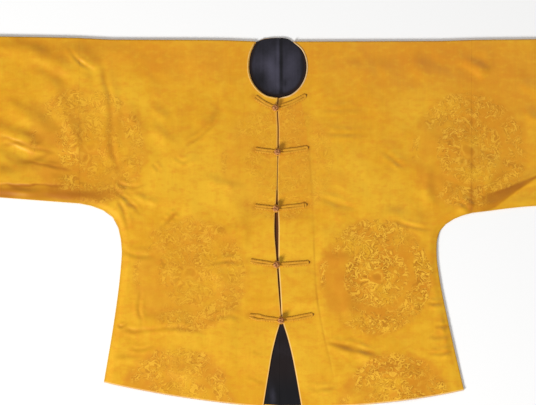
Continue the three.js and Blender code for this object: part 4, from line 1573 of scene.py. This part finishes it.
@dataclass(frozen=True)
class BodyHalf:
    """Half of the body: one cut piece from the hem of the back over the shoulder to the front hem.

    Attributes:
        side: Which half.
        flat: The width and length of the cut; not used.
        area: Its flat area; not used.
        columns: Steps across from the neck's side to the sleeve seam.
        neck_columns: Steps across the back of the neck.
        back_rows: Steps down the back, for the neck, chest, underarm and side.
        front_rows: The same for the front.
        fold_rows: Steps round the shoulder fold.
        free_roll: Radius of the rounded front edge and hem.
        side_roll: The same at the side.
        seam_roll: The same at a seam.
        levels: The y of the inner edge's marks beside the chest and the underarm.
        neck_level: The y of the back's mark below the neck.
    """

    side: Side
    flat: tuple[float, float]
    area: float
    columns: int = 164
    neck_columns: int = 16
    back_rows: tuple[int, int, int, int] = (24, 32, 24, 56)
    front_rows: tuple[int, int, int, int] = (56, 84, 52, 116)
    fold_rows: int = 8
    free_roll: float = 1.0 * MM
    side_roll: float = 1.2 * MM
    seam_roll: float = 0.14 * MM
    levels: Place = (44 * MM, -56 * MM)
    neck_level: float = 245.6 * MM

    def build(self, dresser: Dresser) -> Piece:
        """Builds the piece and dresses it."""
        front = Outline(self.side.node("front"), self.side, True)
        back = Outline(self.side.node("back"), self.side, False)
        lines = self._front_lines(front)
        front_grid, edges = self._front_grid(lines)
        back_grid, back_edges = self._back_grid(back, lines)
        shell = self._shell(front_grid, back_grid, edges, back_edges)
        piece, places = shell.piece(self.side.piece("body"))
        # How strong the painted highlight on the front edge is.
        set_values(piece, "rim", self._rim(-places[:, 1]))
        dresser.dress(piece, FiguredSilk(), "silk", self.side.node("front"), self.side.node("back"))
        return piece

    def _rim(self, down: Array) -> Array:
        """Returns how strong the painted highlight on the rounded front edge is at each distance down the
        front.
        """
        if self.side is Side.RIGHT:
            return 0.25 + 0.5 * eased(down, -40 * MM, 5 * MM)
        return 0.2 + 0.4 * eased(down, 196 * MM, 215 * MM)

    def _front_lines(self, outline: Outline) -> dict[str, Array]:
        """Parts the front's outline at its corners."""
        seam_top = outline.corner(1, 1)
        at_seam = outline.out > outline.out.max() - 1 * MM
        seam_bottom = outline.corner(0, -1, at_seam)
        hem_corner = outline.corner(1, -1, outline.up < HEM_BAND)
        opening_bottom = outline.corner(-1, -1)
        neck_start, neck_bottom = outline.neck()
        return {
            "top": outline.between(neck_start, seam_top),
            "seam": outline.between(seam_top, seam_bottom),
            "side": outline.between(seam_bottom, hem_corner),
            "hem": outline.between(opening_bottom, hem_corner),
            "opening": outline.between(neck_bottom, opening_bottom),
            "neck": outline.between(neck_start, neck_bottom),
        }

    def _outer_stretches(self, lines: dict[str, Array], top: Array) -> list[Array]:
        """Returns the sleeve seam in two parts, the underarm and the side."""
        seam = np.vstack([top, lines["seam"][-1]])
        chest = seam[0] + 0.42 * (seam[1] - seam[0])
        side = smoothed(lines["side"])
        turn = int(np.argmin(np.abs(side[:, 0])))
        return [np.vstack([seam[0], chest]), np.vstack([chest, seam[1]]), side[: turn + 1], side[turn:]]

    def _front_grid(self, lines: dict[str, Array]) -> tuple[Array, dict[str, Array]]:
        """Lays the rows and columns of the front.

        Returns:
            The places by row and column, and the lines of its edges.
        """
        top = smoothed(lines["top"]) - np.array([0, FOLD_RADIUS - FOLD_PAST])
        neck = smoothed(lines["neck"])
        neck = np.vstack([top[0], neck[neck[:, 1] < top[0, 1] - 0.2 * MM]])
        opening = smoothed(lines["opening"])
        upper, rest = split_at(opening, self.levels[0])
        middle, lower = split_at(rest, self.levels[1])
        outer = self._outer_stretches(lines, top[-1])
        inner_line = chained([neck, upper, middle, lower], self.front_rows)
        outer_line = chained(outer, self.front_rows)
        across = spread(float(np.ptp(top[:, 0])), self.columns, True, True)
        hem = sampled(smoothed(lines["hem"]), across)
        grid = patch(sampled(top, across), hem, inner_line, outer_line)
        edges = {"free": np.vstack([neck, opening[1:]]), "hem": hem, "seam": np.vstack(outer[:2])}
        edges["side"] = np.vstack(outer[2:])
        return grid, edges

    def _back_grid(self, outline: Outline, lines: dict[str, Array]) -> tuple[Array, dict[str, Array]]:
        """Lays the rows and columns of the back, down from the shoulder.

        Args:
            outline: The back's outline.
            lines: The parts of the front's outline.

        Returns:
            The places by row and column, and the lines of its edges.
        """
        top = smoothed(lines["top"] + np.array([0, FOLD_PAST])) - np.array([0, FOLD_RADIUS])
        middle_bottom = outline.corner(-1, -1)
        hem_corner = outline.corner(1, -1, outline.up < HEM_BAND)
        middle_top = outline.corner(-1, 1, outline.out < 3 * MM)
        off_top = np.abs(outline.out - abs(top[0, 0])) + np.abs(outline.up - top[0, 1])
        neck = outline.between(middle_top, int(np.argmin(off_top)))
        neck = smoothed(np.vstack([neck[:-1], top[:1]]))
        x = neck[0, 0]
        levels = [neck[0, 1], self.neck_level, *self.levels, outline.loop[middle_bottom, 1]]
        inner = [np.array([[x, a], [x, b]]) for a, b in zip(levels[:-1], levels[1:])]
        outer = self._outer_stretches(lines, top[-1])
        inner_line = chained(inner, self.back_rows)
        outer_line = chained(outer, self.back_rows)
        first = sampled(neck, spread(float(np.ptp(neck[:, 0])), self.neck_columns, True, False))
        across = spread(float(np.ptp(top[:, 0])), self.columns, True, True)
        top_line = np.vstack([first, sampled(top, across)[1:]])
        hem = sampled(smoothed(outline.between(middle_bottom, hem_corner)), lengths_along(top_line))
        hem = hem + (outer_line[-1] - hem[-1]) * eased(lengths_along(top_line), 0.7, 1.0)[:, None]
        grid = patch(top_line, hem, inner_line, outer_line)
        edges = {"middle": inner_line, "hem": hem, "neck": neck, "seam": np.vstack(outer[:2])}
        edges["side"] = np.vstack(outer[2:])
        return grid, edges

    def _rounded(self, y: Array, free: Array, side: Array, seam: Array, seam_end: float) -> Array:
        """Returns how far rounded edges fall away.

        Args:
            y: The places' y.
            free: How far they are from the free edges.
            side: How far from the side.
            seam: How far from the line of the sleeve seam.
            seam_end: Where that seam ends.
        """
        fall = np.maximum(rolled(free, self.free_roll), rolled(side, self.side_roll))
        return np.maximum(fall, np.where(y > seam_end - 1 * MM, rolled(seam, self.seam_roll), 0))

    def _shell(
        self, front: Array, back: Array, edges: dict[str, Array], back_edges: dict[str, Array]
    ) -> SilkShell:
        """Gives the grids their heights and joins them over the shoulder."""
        x, y = front[..., 0], front[..., 1]
        below = np.interp(np.abs(x), np.abs(front[0, :, 0]), front[0, :, 1] + FOLD_RADIUS) - y
        from_side = beside(x, y, edges["side"][::3])[0]
        top = LIE.height(x, y, below, from_side)
        free = nearest(x, y, edges["free"][::2], edges["hem"][::4])
        from_seam = np.abs(np.abs(x) - np.abs(edges["seam"][0, 0]))
        fall = self._rounded(y, free, from_side, from_seam, edges["seam"][-1, 1])
        touching = 1.4 * MM * eased(y, 52 * MM, 72 * MM) * eased(-y, -132 * MM, -116 * MM)

        back = back[::-1]
        x, y = back[..., 0], back[..., 1]
        back_free = nearest(x, y, back_edges["hem"][::4], back_edges["neck"][::3])
        back_side = beside(x, y, back_edges["side"][::3])[0]
        back_seam = np.abs(np.abs(x) - np.abs(back_edges["seam"][0, 0]))
        rise = self._rounded(y, back_free, back_side, back_seam, back_edges["seam"][-1, 1])
        rise = np.maximum(rise, rolled(np.abs(x - back_edges["middle"][0, 0]), self.seam_roll))
        shoulder = rise[-1, self.neck_columns + 1 :]
        shoulder[from_seam[0, 1:] >= self.seam_roll] = 0

        faces = folded(front, top, fall, back, rise, rolled(from_seam[0], self.seam_roll), self.fold_rows)
        back_index = np.arange(rise.size).reshape(rise.shape)
        front_index = np.arange(rise.size, len(faces[0])).reshape(-1, front.shape[1])
        over = np.vstack([back_index[-1:, self.neck_columns :], front_index])
        skin = Skin([back_index, over], *faces, self.side is Side.RIGHT)
        folds = (self.fold_rows - 1) * front.shape[1]
        edge = np.concatenate([np.full(rise.size + folds, FAR), (free + touching).ravel()])
        near_rim = np.minimum(from_side, below + AT_FOLD)
        side = np.concatenate([back_side.ravel(), np.full(folds, AT_FOLD), near_rim.ravel()])
        return SilkShell(skin, edge, side)


@dataclass(frozen=True)
class Sleeve:
    """A sleeve extension, folded at the shoulder and sewn along the underarm.

    Attributes:
        side: Which sleeve.
        flat: The width and length of the cut; not used.
        shift: How far its roundels miss the body's, in millimetres.
        plain: How much more plainly they show than the body's.
        columns: Steps from the seam to the cuff.
        back_rows: Steps up the back.
        fold_rows: Steps round the shoulder fold.
        front_rows: Steps down the front.
        free_roll: Radius of the rounded cuff and underarm.
        seam_roll: The same at the seam.
        seam_reach: How far it reaches past its outline at the seam.
    """

    side: Side
    flat: tuple[float, float]
    shift: Place
    plain: float
    columns: int = 124
    back_rows: int = 80
    fold_rows: int = 8
    front_rows: int = 132
    free_roll: float = 1.2 * MM
    seam_roll: float = 0.14 * MM
    seam_reach: float = 0.2 * MM

    def build(self, dresser: Dresser) -> Piece:
        """Builds the piece and dresses it."""
        name = self.side.node("sleeve")
        outline = Outline(name, self.side, True)
        seam_top, cuff_top = outline.corner(-1, 1), outline.corner(1, 1)
        seam_bottom, cuff_bottom = outline.corner(-1, -1), outline.corner(1, -1)
        top = smoothed(outline.between(seam_top, cuff_top)) - np.array([0, FOLD_RADIUS - FOLD_PAST])
        bottom = smoothed(outline.between(seam_bottom, cuff_bottom))
        across = spread(float(np.ptp(top[:, 0])), self.columns, True, True)
        top, bottom = sampled(top, across), sampled(bottom, across)
        top[0, 0] -= self.side.value * self.seam_reach
        bottom[0, 0] -= self.side.value * self.seam_reach
        front = self._rows(top, bottom, self.front_rows)
        back = self._rows(top, bottom, self.back_rows)[::-1]
        shell = self._shell(front, back, bottom)
        piece, _ = shell.piece(self.side.piece("sleeve"), self.shift, self.plain)
        dresser.dress(piece, FiguredSilk(), "silk", name)
        return piece

    @staticmethod
    def _rows(top: Array, bottom: Array, count: int) -> Array:
        """Lays rows between two lines."""
        length = float(np.linalg.norm(top[0] - bottom[0]))
        t = spread(length, count, False, True)[:, None, None]
        return (1 - t) * top[None] + t * bottom[None]

    def _ends(self, x: Array, front: Array) -> Array:
        """Returns how far the edges at the seam and the cuff fall away at each x."""
        from_seam, from_cuff = np.abs(x - front[0, 0, 0]), np.abs(x - front[0, -1, 0])
        return np.maximum(rolled(from_seam, self.seam_roll), rolled(from_cuff, self.free_roll))

    def _shell(self, front: Array, back: Array, bottom: Array) -> SilkShell:
        """Gives the grids their heights and joins them over the shoulder."""
        x, y = front[..., 0], front[..., 1]
        below = front[0, :, 1] + FOLD_RADIUS - y
        from_side = beside(x, y, bottom[::3])[0]
        top = LIE.height(x, y, below, from_side)
        fall = np.maximum(rolled(from_side, self.free_roll), self._ends(x, front))
        back_side = beside(back[..., 0], back[..., 1], bottom[::3])[0]
        rise = np.maximum(rolled(back_side, self.free_roll), self._ends(back[..., 0], front))
        faces = folded(front, top, fall, back, rise, self._ends(x[0], front), self.fold_rows)
        grid = np.arange(len(faces[0])).reshape(-1, front.shape[1])
        folds = (self.fold_rows - 1) * front.shape[1]
        near_rim = np.minimum(from_side, below + AT_FOLD)
        side = np.concatenate([back_side.ravel(), np.full(folds, AT_FOLD), near_rim.ravel()])
        return SilkShell(Skin([grid], *faces, self.side is Side.RIGHT), np.full(len(side), FAR), side)


@dataclass(frozen=True)
class Lining:
    """Half of the back lining, a flat piece of navy silk.

    Attributes:
        side: Which half.
        flat: The width and length of the cut; not used.
        area: Its flat area; not used.
        columns: Steps across.
        rows: Steps down.
        lowest: Height of its underside.
        thickness: Its thickness.
        hem_reach: How far its hem droops past its first cut.
        neck_y: The y of the middle of the neck hole, in millimetres.
        neck_reach: From there to the hole's side, its foot and its top, in millimetres.
        lights: Lighter patches, most of them painted sheen, and where negative painted shade beside the
            middle seam and a dark mark: x, y, reach along x and y in millimetres, and how much.
    """

    side: Side
    flat: tuple[float, float]
    area: float
    columns: int = 120
    rows: int = 160
    lowest: float = 1.8 * MM
    thickness: float = 0.6 * MM
    hem_reach: float = 9.5 * MM
    neck_y: float = 308.0
    neck_reach: tuple[float, float, float] = (58.5, 62.4, 80.0)
    lights: tuple[tuple[float, ...], ...] = (
        (-13, 306, 13, 34, 0.62),
        (30, 306, 20, 40, 0.5),
        (-34, 318, 14, 30, 0.25),
        (8, 268, 20, 12, 0.35),
        (1, 320, 2.5, 60, 0.3),
        (7.5, 300, 2.5, 70, -0.5),
        (15, 274, 4, 8, -0.35),
        (-9, -352, 8, 26, 0.45),
        (24, -336, 10, 30, 0.15),
    )

    def build(self, dresser: Dresser) -> Piece:
        """Builds the piece and dresses it."""
        name = self.side.node("lining")
        skin = self._skin(FlatOutline(name, self.side))
        piece, places, _ = skin.piece(self.side.piece("back_lining"))
        self._store(piece, places[:, 0], places[:, 1])
        soften(piece)
        dresser.dress(piece, NAVY, "lining", name)
        rests_on = [self.side.piece("body")]
        return piece

    def _skin(self, outline: Outline) -> Skin:
        """Lays rows and columns inside the outline and gives them their heights."""
        top_inner = outline.corner(-1, 1, outline.out < 20 * MM)
        top_outer = outline.corner(1, 1)
        bottom_outer = outline.corner(1, -1, outline.up < HEM_BAND)
        bottom_inner = outline.corner(-1, -1)
        across = spread(float(np.ptp(outline.out)), self.columns, True, True)
        down = spread(float(np.ptp(outline.up)), self.rows, True, True)
        top = sampled(outline.between(top_inner, top_outer), across)
        bottom = sampled(outline.between(bottom_inner, bottom_outer), across)
        inner = sampled(outline.between(top_inner, bottom_inner), down)
        outer = sampled(smoothed(outline.between(top_outer, bottom_outer), 4), down)
        inner[:, 0] -= self.side.value * 0.15 * MM
        inner[:, 1] -= self.hem_reach * eased(-inner[:, 1], 0.25, 0.36)
        outer[:, 1] -= self.hem_reach * eased(-outer[:, 1], 0.25, 0.36)
        bottom[:, 1] -= self.hem_reach
        top[0, 0], bottom[0, 0] = inner[0, 0], inner[-1, 0]
        grid = patch(top, bottom, inner, outer)
        x, y = grid[..., 0], grid[..., 1]
        folds = 0.5 + 0.5 * np.sin(2 * math.pi * (x / (23 * MM) + 0.9 * soft_noise(x, y, 60 * MM, 31)))
        z = self.lowest + self.thickness + 0.28 * MM * folds * (0.6 + 0.4 * soft_noise(x, y, 40 * MM, 32))
        edge = np.minimum(np.abs(x - inner[0, 0]), nearest(x, y, top[::3], bottom[::3], outer[::3]))
        z = z - rolled(edge, 0.4 * MM)
        above = np.dstack([grid, z]).reshape(-1, 3)
        under = np.dstack([grid, np.full(x.shape, self.lowest)]).reshape(-1, 3)
        index = np.arange(x.size).reshape(x.shape)
        return Skin([index], above, under, grid.reshape(-1, 2), self.side is Side.RIGHT)

    def _store(self, piece: Piece, x: Array, y: Array) -> None:
        """Stores the painted sheen and shade at each place, and the painted brown shade under the front
        edges and round the neck.
        """
        lit = 0.12 + 0.16 * soft_noise(x, y, 26 * MM, 81) + patches(x, y, self.lights)
        x, y = x / MM, y / MM
        across, down, up = self.neck_reach
        around = np.hypot(x / across, (y - self.neck_y) / np.where(y < self.neck_y, down, up))
        # Painted shadow of the front's neck edge, round the hole.
        rim = eased(around, 0.84, 0.97)
        # Painted brown shade in the slit between the fronts.
        slit = (0.62 + 0.38 * eased(y, -20, 50)) * eased(y, -212, -194)
        slit *= eased(-y, -246, -240) * (np.abs(x) < 30)
        # Painted shade, darker low down in the V.
        lit -= 0.17 * eased(-y, 150, 240)
        set_values(piece, "lit", np.where(y > 200, lit - 0.6 * rim, lit))
        # Faint painted brown shade in the V.
        below = 0.035 * eased(-y, 196, 212) * eased(y, -345, -290)
        at_neck = 0.1 * rim * (np.abs(y - 300) < 90)
        set_values(piece, "under", np.maximum.reduce([slit, below, at_neck]))


class FlatOutline(Outline):
    """The outline of the underside of a flat piece at any height."""

    def __init__(self, node: str, side: Side) -> None:
        """Reads the outline from a node."""
        places, triangles = self._triangles(node)
        corners = places[triangles]
        flat = np.ptp(corners[:, :, 2], axis=1) < 0.01 * MM
        chosen = flat & (corners[:, :, 2].mean(axis=1) < places[:, 2].mean())
        self.loop = places[self._walk(triangles[chosen])][:, :2]
        self.out = self.loop[:, 0] * side.value
        self.up = self.loop[:, 1]


# ---- Neck edging, frogs and stitches ----


FROG_BASE = 4.55 * MM
"""The height of the cloth's top under the frogs and the edging."""


def from_ends(count: int) -> Array:
    """Returns how many steps each of some places in a row is from the nearer end."""
    return np.minimum(np.arange(count), np.arange(count)[::-1])


@dataclass(frozen=True)
class NeckEdging:
    """The narrow cream strip along one side of the neck.

    Attributes:
        side: Which half.
        width: Its width.
        height: How high it stands.
        inset: How far its middle is from the neck's edge.
        middle: The middle of the neck hole.
        steps: Places along it.
    """

    side: Side
    width: float = 2.6 * MM
    height: float = 1.1 * MM
    inset: float = 1.0 * MM
    middle: Place = (0.0, 308 * MM)
    steps: int = 90

    def build(self, dresser: Dresser) -> Piece:
        """Builds the piece and dresses it."""
        name = self.side.node("neck_binding")
        outline = Outline(self.side.node("front"), self.side, True)
        line = smoothed(outline.between(*outline.neck()))
        way = np.gradient(line, axis=0)
        way /= np.linalg.norm(way, axis=1)[:, None]
        away = np.stack([way[:, 1], -way[:, 0]], axis=1)
        away *= np.sign(((line - self.middle) * away).sum())
        line = sampled(line + away * self.inset, np.linspace(0.006, 0.985, self.steps))
        z = np.full(self.steps, FROG_BASE + self.height / 2 + 0.05 * MM)
        taper = 0.25 + 0.75 * eased(from_ends(self.steps), 0, 4)
        tube = Tube(np.column_stack([line, z]), self.width * taper, self.height * taper)
        piece = tubes_piece(self.side.piece("neck_edging"), [tube])
        dresser.dress(piece, CREAM if self.side is Side.RIGHT else GOLD_EDGE, "binding", name)
        return piece


class StrapEnd(Enum):
    """How the far end of a frog's strap is finished."""

    ROUND = "round"
    BOX = "box"
    LENS = "lens"


@dataclass(frozen=True)
class Frog:
    """One knotted frog: a looped strap on the left and a knotted one on the right.

    Attributes:
        number: Its number from the neck.
        knot: The place of its knot, in millimetres.
        left: The far end of the loop's strap.
        right: The far end of the knot's strap.
        left_end: How the left strap ends.
        right_end: How the right strap ends.
        cord: Width of the cord where two lie side by side.
        loop_cord: The same in the loop.
        cord_height: Height of the cord.
        sag: How far both straps bow down the front, in millimetres.
        loop_radius: From the knot's middle to the middle of the loop's cord.
        knot_radius: Radius of the ball that the knot is tied round.
        knot_height: Height of the ball's middle over the cloth.
        knot_cord: Thickness of the cord where it runs into the knot.
        plait: Thickness of the cord in the knot.
        core: Radius of the knot's core.
        thread: Thickness of a stitch.
        stitch_step: From one stitch to the next.
        tack: Width of the dark tack.
    """

    number: int
    knot: Place
    left: Place
    right: Place
    left_end: StrapEnd = StrapEnd.ROUND
    right_end: StrapEnd = StrapEnd.ROUND
    cord: float = 5.0 * MM
    loop_cord: float = 3.1 * MM
    cord_height: float = 1.5 * MM
    sag: float = 0.0
    loop_radius: float = 6.3 * MM
    knot_radius: float = 5.0 * MM
    knot_height: float = 5.9 * MM
    knot_cord: float = 2.3 * MM
    plait: float = 2.9 * MM
    core: float = 4.1 * MM
    thread: float = 0.34 * MM
    stitch_step: float = 5.2 * MM
    tack: float = 2.5 * MM

    def build(self, dresser: Dresser) -> list[Piece]:
        """Builds both halves, the knot and the stitches, and dresses them."""
        name = f"frog_{self.number}"
        loop = tubes_piece(f"{name}_looped_strap", self._loop())
        dresser.dress(loop, CORD, "cord", f"{name}_loop")
        strap = tubes_piece(f"{name}_knotted_strap", self._strap())
        dresser.dress(strap, CORD, "cord", f"{name}_knot")
        ball = tubes_piece(f"{name}_button", self._button())
        dresser.dress(ball, KNOT, "cord")
        stitches = tubes_piece(f"{name}_stitches", self._stitches())
        dresser.dress(stitches, THREAD, "cord")
        return [loop, strap, ball, stitches]

    def _placed(self, far: Place, local: Array) -> Array:
        """Turns places along a strap, from its far end, into places on the jacket."""
        start, end = np.array(far) * MM, np.array(self.knot) * MM
        way = (end - start) / np.linalg.norm(end - start)
        side = np.array([-way[1], way[0]])
        flat = start + local[:, :1] * way + local[:, 1:2] * side
        t = np.clip(local[:, 0] / np.linalg.norm(end - start), 0, 1)
        flat[:, 1] -= self.sag * MM * 4 * t * (1 - t)
        return np.column_stack([flat, FROG_BASE + local[:, 2]])

    def _reach(self, far: Place) -> float:
        """Returns the distance from a strap's far end to the knot."""
        return math.dist(far, self.knot) * MM

    def _gap(self, along: Array, reach: float, end: StrapEnd) -> Array:
        """Returns how far each of the two cords lies from the strap's middle."""
        gap = np.full(along.shape, self.cord / 2)
        if end is StrapEnd.LENS:
            gap += 1.7 * MM * np.exp(-(((along - 0.3 * reach) / (9 * MM)) ** 2))
        return gap + 0.25 * MM * np.sin(along / (7 * MM) + self.number)

    def _loop(self) -> list[Tube]:
        """Returns the looped strap: one cord that goes out, round the knot and back."""
        reach = self._reach(self.left)
        along = np.linspace(1.6 * MM, reach - 9.5 * MM, 40)
        gap = self._gap(along, reach, self.left_end)
        gap *= 1 - 0.25 * eased(along, reach - 17 * MM, reach - 9.5 * MM)
        turn = np.linspace(math.radians(152), -math.radians(152), 48)
        ring = np.column_stack([reach + self.loop_radius * np.cos(turn), self.loop_radius * np.sin(turn)])
        flat = np.vstack([np.column_stack([along, gap]), ring, np.column_stack([along, -gap])[::-1]])
        flat = smoothed(flat, 2)
        from_knot = np.abs(reach - flat[:, 0])
        thin = eased(from_knot, 6 * MM, 15 * MM)
        width = self.loop_cord + (self.cord - self.loop_cord) * thin
        ends = eased(from_ends(len(flat)), -1.5, 4)
        height = self.cord_height * (0.9 + 0.1 * thin)
        z = height / 2 + 0.5 * MM * (1 - thin)
        path = self._placed(self.left, np.column_stack([flat, z]))
        return [Tube(path, width * ends, height * ends)]

    def _strap(self) -> list[Tube]:
        """Returns the knotted strap: a cord that comes out of the knot, turns and goes back."""
        reach = self._reach(self.right)
        flat_end = reach - 11 * MM
        along = np.linspace(3.2 * MM, flat_end, 40)
        gap = self._gap(along, reach, self.right_end)
        turn = np.linspace(math.pi / 2, 3 * math.pi / 2, 14)[1:-1]
        bend = np.column_stack([3.2 * MM + gap[0] * np.cos(turn), gap[0] * np.sin(turn)])
        up_x = np.array([flat_end + 3.5 * MM, flat_end + 6.5 * MM, reach - 1.5 * MM])
        up_y = np.array([1.7, 1.15, 0.9]) * MM
        up_z = np.array([2.0, 3.6, 4.7]) * MM
        top = np.vstack([np.column_stack([along, gap]), np.column_stack([up_x, up_y])])
        z = np.concatenate([np.full(40, self.cord_height / 2), up_z])
        there = np.column_stack([top, z])[::-1]
        middle = np.column_stack([bend, np.full(len(bend), self.cord_height / 2)])
        back = np.column_stack([top[:, 0], -top[:, 1], z])
        local = smoothed(np.vstack([there, middle, back]), 2)
        thin = eased(reach - local[:, 0], 5 * MM, 14 * MM)
        width = self.knot_cord + (self.cord - self.knot_cord) * thin
        height = self.knot_cord + (self.cord_height - self.knot_cord) * thin
        tubes = [Tube(self._placed(self.right, local), width, height)]
        if self.right_end is StrapEnd.BOX:
            across = np.linspace(-5.4, 5.4, 16) * MM
            over = self.cord_height + 0.3 * MM - 1.2 * MM * eased(np.abs(across), 3.6 * MM, 5.4 * MM)
            wrap = np.column_stack([np.full(16, 4.6 * MM), across, over])
            tubes.append(Tube(self._placed(self.right, wrap), np.full(16, 2.6 * MM), np.full(16, 1.6 * MM)))
        return tubes

    def _button(self) -> list[Tube]:
        """Returns the ball knot: a plaited cord of three leads round a core."""
        turns = np.linspace(0, 6 * math.pi, 220)
        swing = 4 * turns / 3
        latitude = 1.02 * np.cos(swing)
        radius = self.knot_radius + 0.55 * MM * np.sin(2 * swing)
        middle = np.array([*self.knot, 0.0]) * MM
        middle[2] = FROG_BASE + self.knot_height
        spot = np.stack(
            [
                radius * np.cos(latitude) * np.cos(turns + self.number),
                radius * np.cos(latitude) * np.sin(turns + self.number),
                radius * np.sin(latitude),
            ],
            axis=1,
        )
        thickness = np.full(len(turns), self.plait)
        plait = Tube(middle + spot, thickness, thickness, 10)
        t = np.linspace(-1, 1, 15)
        core_path = middle + np.column_stack([t * 0, t * 0, t]) * self.core
        core_size = 2 * self.core * np.sqrt(np.maximum(1 - t**2, 0.02))
        return [plait, Tube(core_path, core_size, core_size, 16)]

    def _stitches(self) -> list[Tube]:
        """Returns the slanted tacking stitches along both straps, and one dark tack at the end."""
        tubes = []
        chance = np.random.default_rng(40 + self.number)
        for far, near_knot in ((self.left, 12 * MM), (self.right, 14 * MM)):
            reach = self._reach(far)
            for side in (-1, 1):
                for at in np.arange(3 * MM, reach - near_knot, self.stitch_step):
                    at += chance.uniform(-0.4, 0.4) * MM
                    t = np.linspace(0, 1, 5)
                    off = side * (self.cord - 1.1 * MM + 1.7 * MM * t)
                    z = 1.4 * MM - 1.4 * MM * t**2 + 0.2 * MM
                    local = np.column_stack([at + 1.3 * MM * t, off, z])
                    size = self.thread * np.sqrt(np.maximum(1 - (2 * t - 1) ** 4, 0.1))
                    tubes.append(Tube(self._placed(far, local), size, size, 6))
        t = np.linspace(0, 1, 5)
        rise = 0.6 * MM + 0.3 * MM * np.sin(math.pi * t)
        tack = np.column_stack([-1.6 * MM + 1.6 * MM * (t - 0.5), (t - 0.5) * 4.6 * MM, rise])
        size = self.tack * np.sqrt(np.maximum(1 - (2 * t - 1) ** 2, 0.1))
        tubes.append(Tube(self._placed(self.right, tack), size, size * 0.5, 8))
        return tubes


FROGS = (
    Frog(1, (-4, 226), (-46, 249), (56, 250), sag=3.0),
    Frog(2, (0, 138), (-46, 143), (60, 146), sag=0.8),
    Frog(3, (-3, 25), (-47, 30), (57, 32), right_end=StrapEnd.BOX, sag=0.6),
    Frog(4, (-2, -87), (-56, -79), (62, -83), sag=1.0),
    Frog(5, (7, -198), (-58, -189), (70, -187), left_end=StrapEnd.LENS, sag=1.2),
)


# ---- Setting ----


@dataclass(frozen=True)
class Studio:
    """The pale floor, the lights and the camera above them.

    Attributes:
        aim: The place on the floor under the camera.
        distance: The camera's height.
        wide: How much of the floor it sees across.
    """

    aim: Place = (-0.019, 0.037)
    distance: float = 3.0
    wide: float = 1.072

    def build(self) -> None:
        """Adds the setting to the scene."""
        self._floor()
        self._light("key_light", (-3.4, -4.2, 3.0), 1.6, 470.0)
        self._light("fill_light", (2.0, 2.8, 5.2), 3.0, 74.0)
        world = bpy.data.worlds.new("studio")
        world.use_nodes = True
        world.node_tree.nodes["Background"].inputs[0].default_value = (1.0, 0.99, 0.97, 1)
        world.node_tree.nodes["Background"].inputs[1].default_value = 0.31
        bpy.context.scene.world = world
        bpy.context.scene.view_settings.view_transform = "Standard"
        data = bpy.data.cameras.new("camera")
        data.sensor_width = 36
        data.lens = 36 * self.distance / self.wide
        camera = bpy.data.objects.new("camera", data)
        camera.location = (*self.aim, self.distance)
        bpy.context.scene.collection.objects.link(camera)
        bpy.context.scene.camera = camera

    def _floor(self) -> None:
        """Adds the plain pale floor."""
        places = np.array([[-8, -8, 0], [8, -8, 0], [8, 8, 0], [-8, 8, 0]], dtype=float)
        places[:, 2] = -0.2 * MM
        floor = make_mesh("floor", places, [np.array([[0, 1, 2, 3]])])
        material, _, shader = start_material("floor_paint", (0.9, 0.9, 0.9, 1))
        shader.inputs["Base Color"].default_value = (0.96, 0.96, 0.96, 1)
        shader.inputs["Roughness"].default_value = 0.9
        floor.data.materials.append(material)

    @staticmethod
    def _light(name: str, place: tuple[float, float, float], size: float, power: float) -> None:
        """Adds a square soft light that points at the jacket's middle."""
        data = bpy.data.lights.new(name, "AREA")
        data.size = size
        data.energy = power
        light = bpy.data.objects.new(name, data)
        light.location = place
        x, y, z = place
        light.rotation_euler = (math.atan2(math.hypot(x, y), z), 0, math.atan2(y, x) + math.pi / 2)
        bpy.context.scene.collection.objects.link(light)


def main() -> None:
    """Builds the jacket piece by piece."""
    logging.basicConfig(level=logging.INFO, format="%(name)s %(message)s")
    dresser = Dresser(Effects(), {})
    BodyHalf(Side.LEFT, (0.396, 1.47), 0.508).build(dresser)
    BodyHalf(Side.RIGHT, (0.388, 1.475), 0.516).build(dresser)
    Sleeve(Side.LEFT, (0.304, 0.65), (-6, 9), 1.25).build(dresser)
    Sleeve(Side.RIGHT, (0.312, 0.69), (3, -2), 1.0).build(dresser)
    Lining(Side.LEFT, (0.36, 0.728), 0.2245).build(dresser)
    Lining(Side.RIGHT, (0.36, 0.728), 0.2228).build(dresser)
    for side in Side:
        NeckEdging(side).build(dresser)
    for frog in FROGS:
        frog.build(dresser)
    Studio().build()


if __name__ == "__main__":
    main()
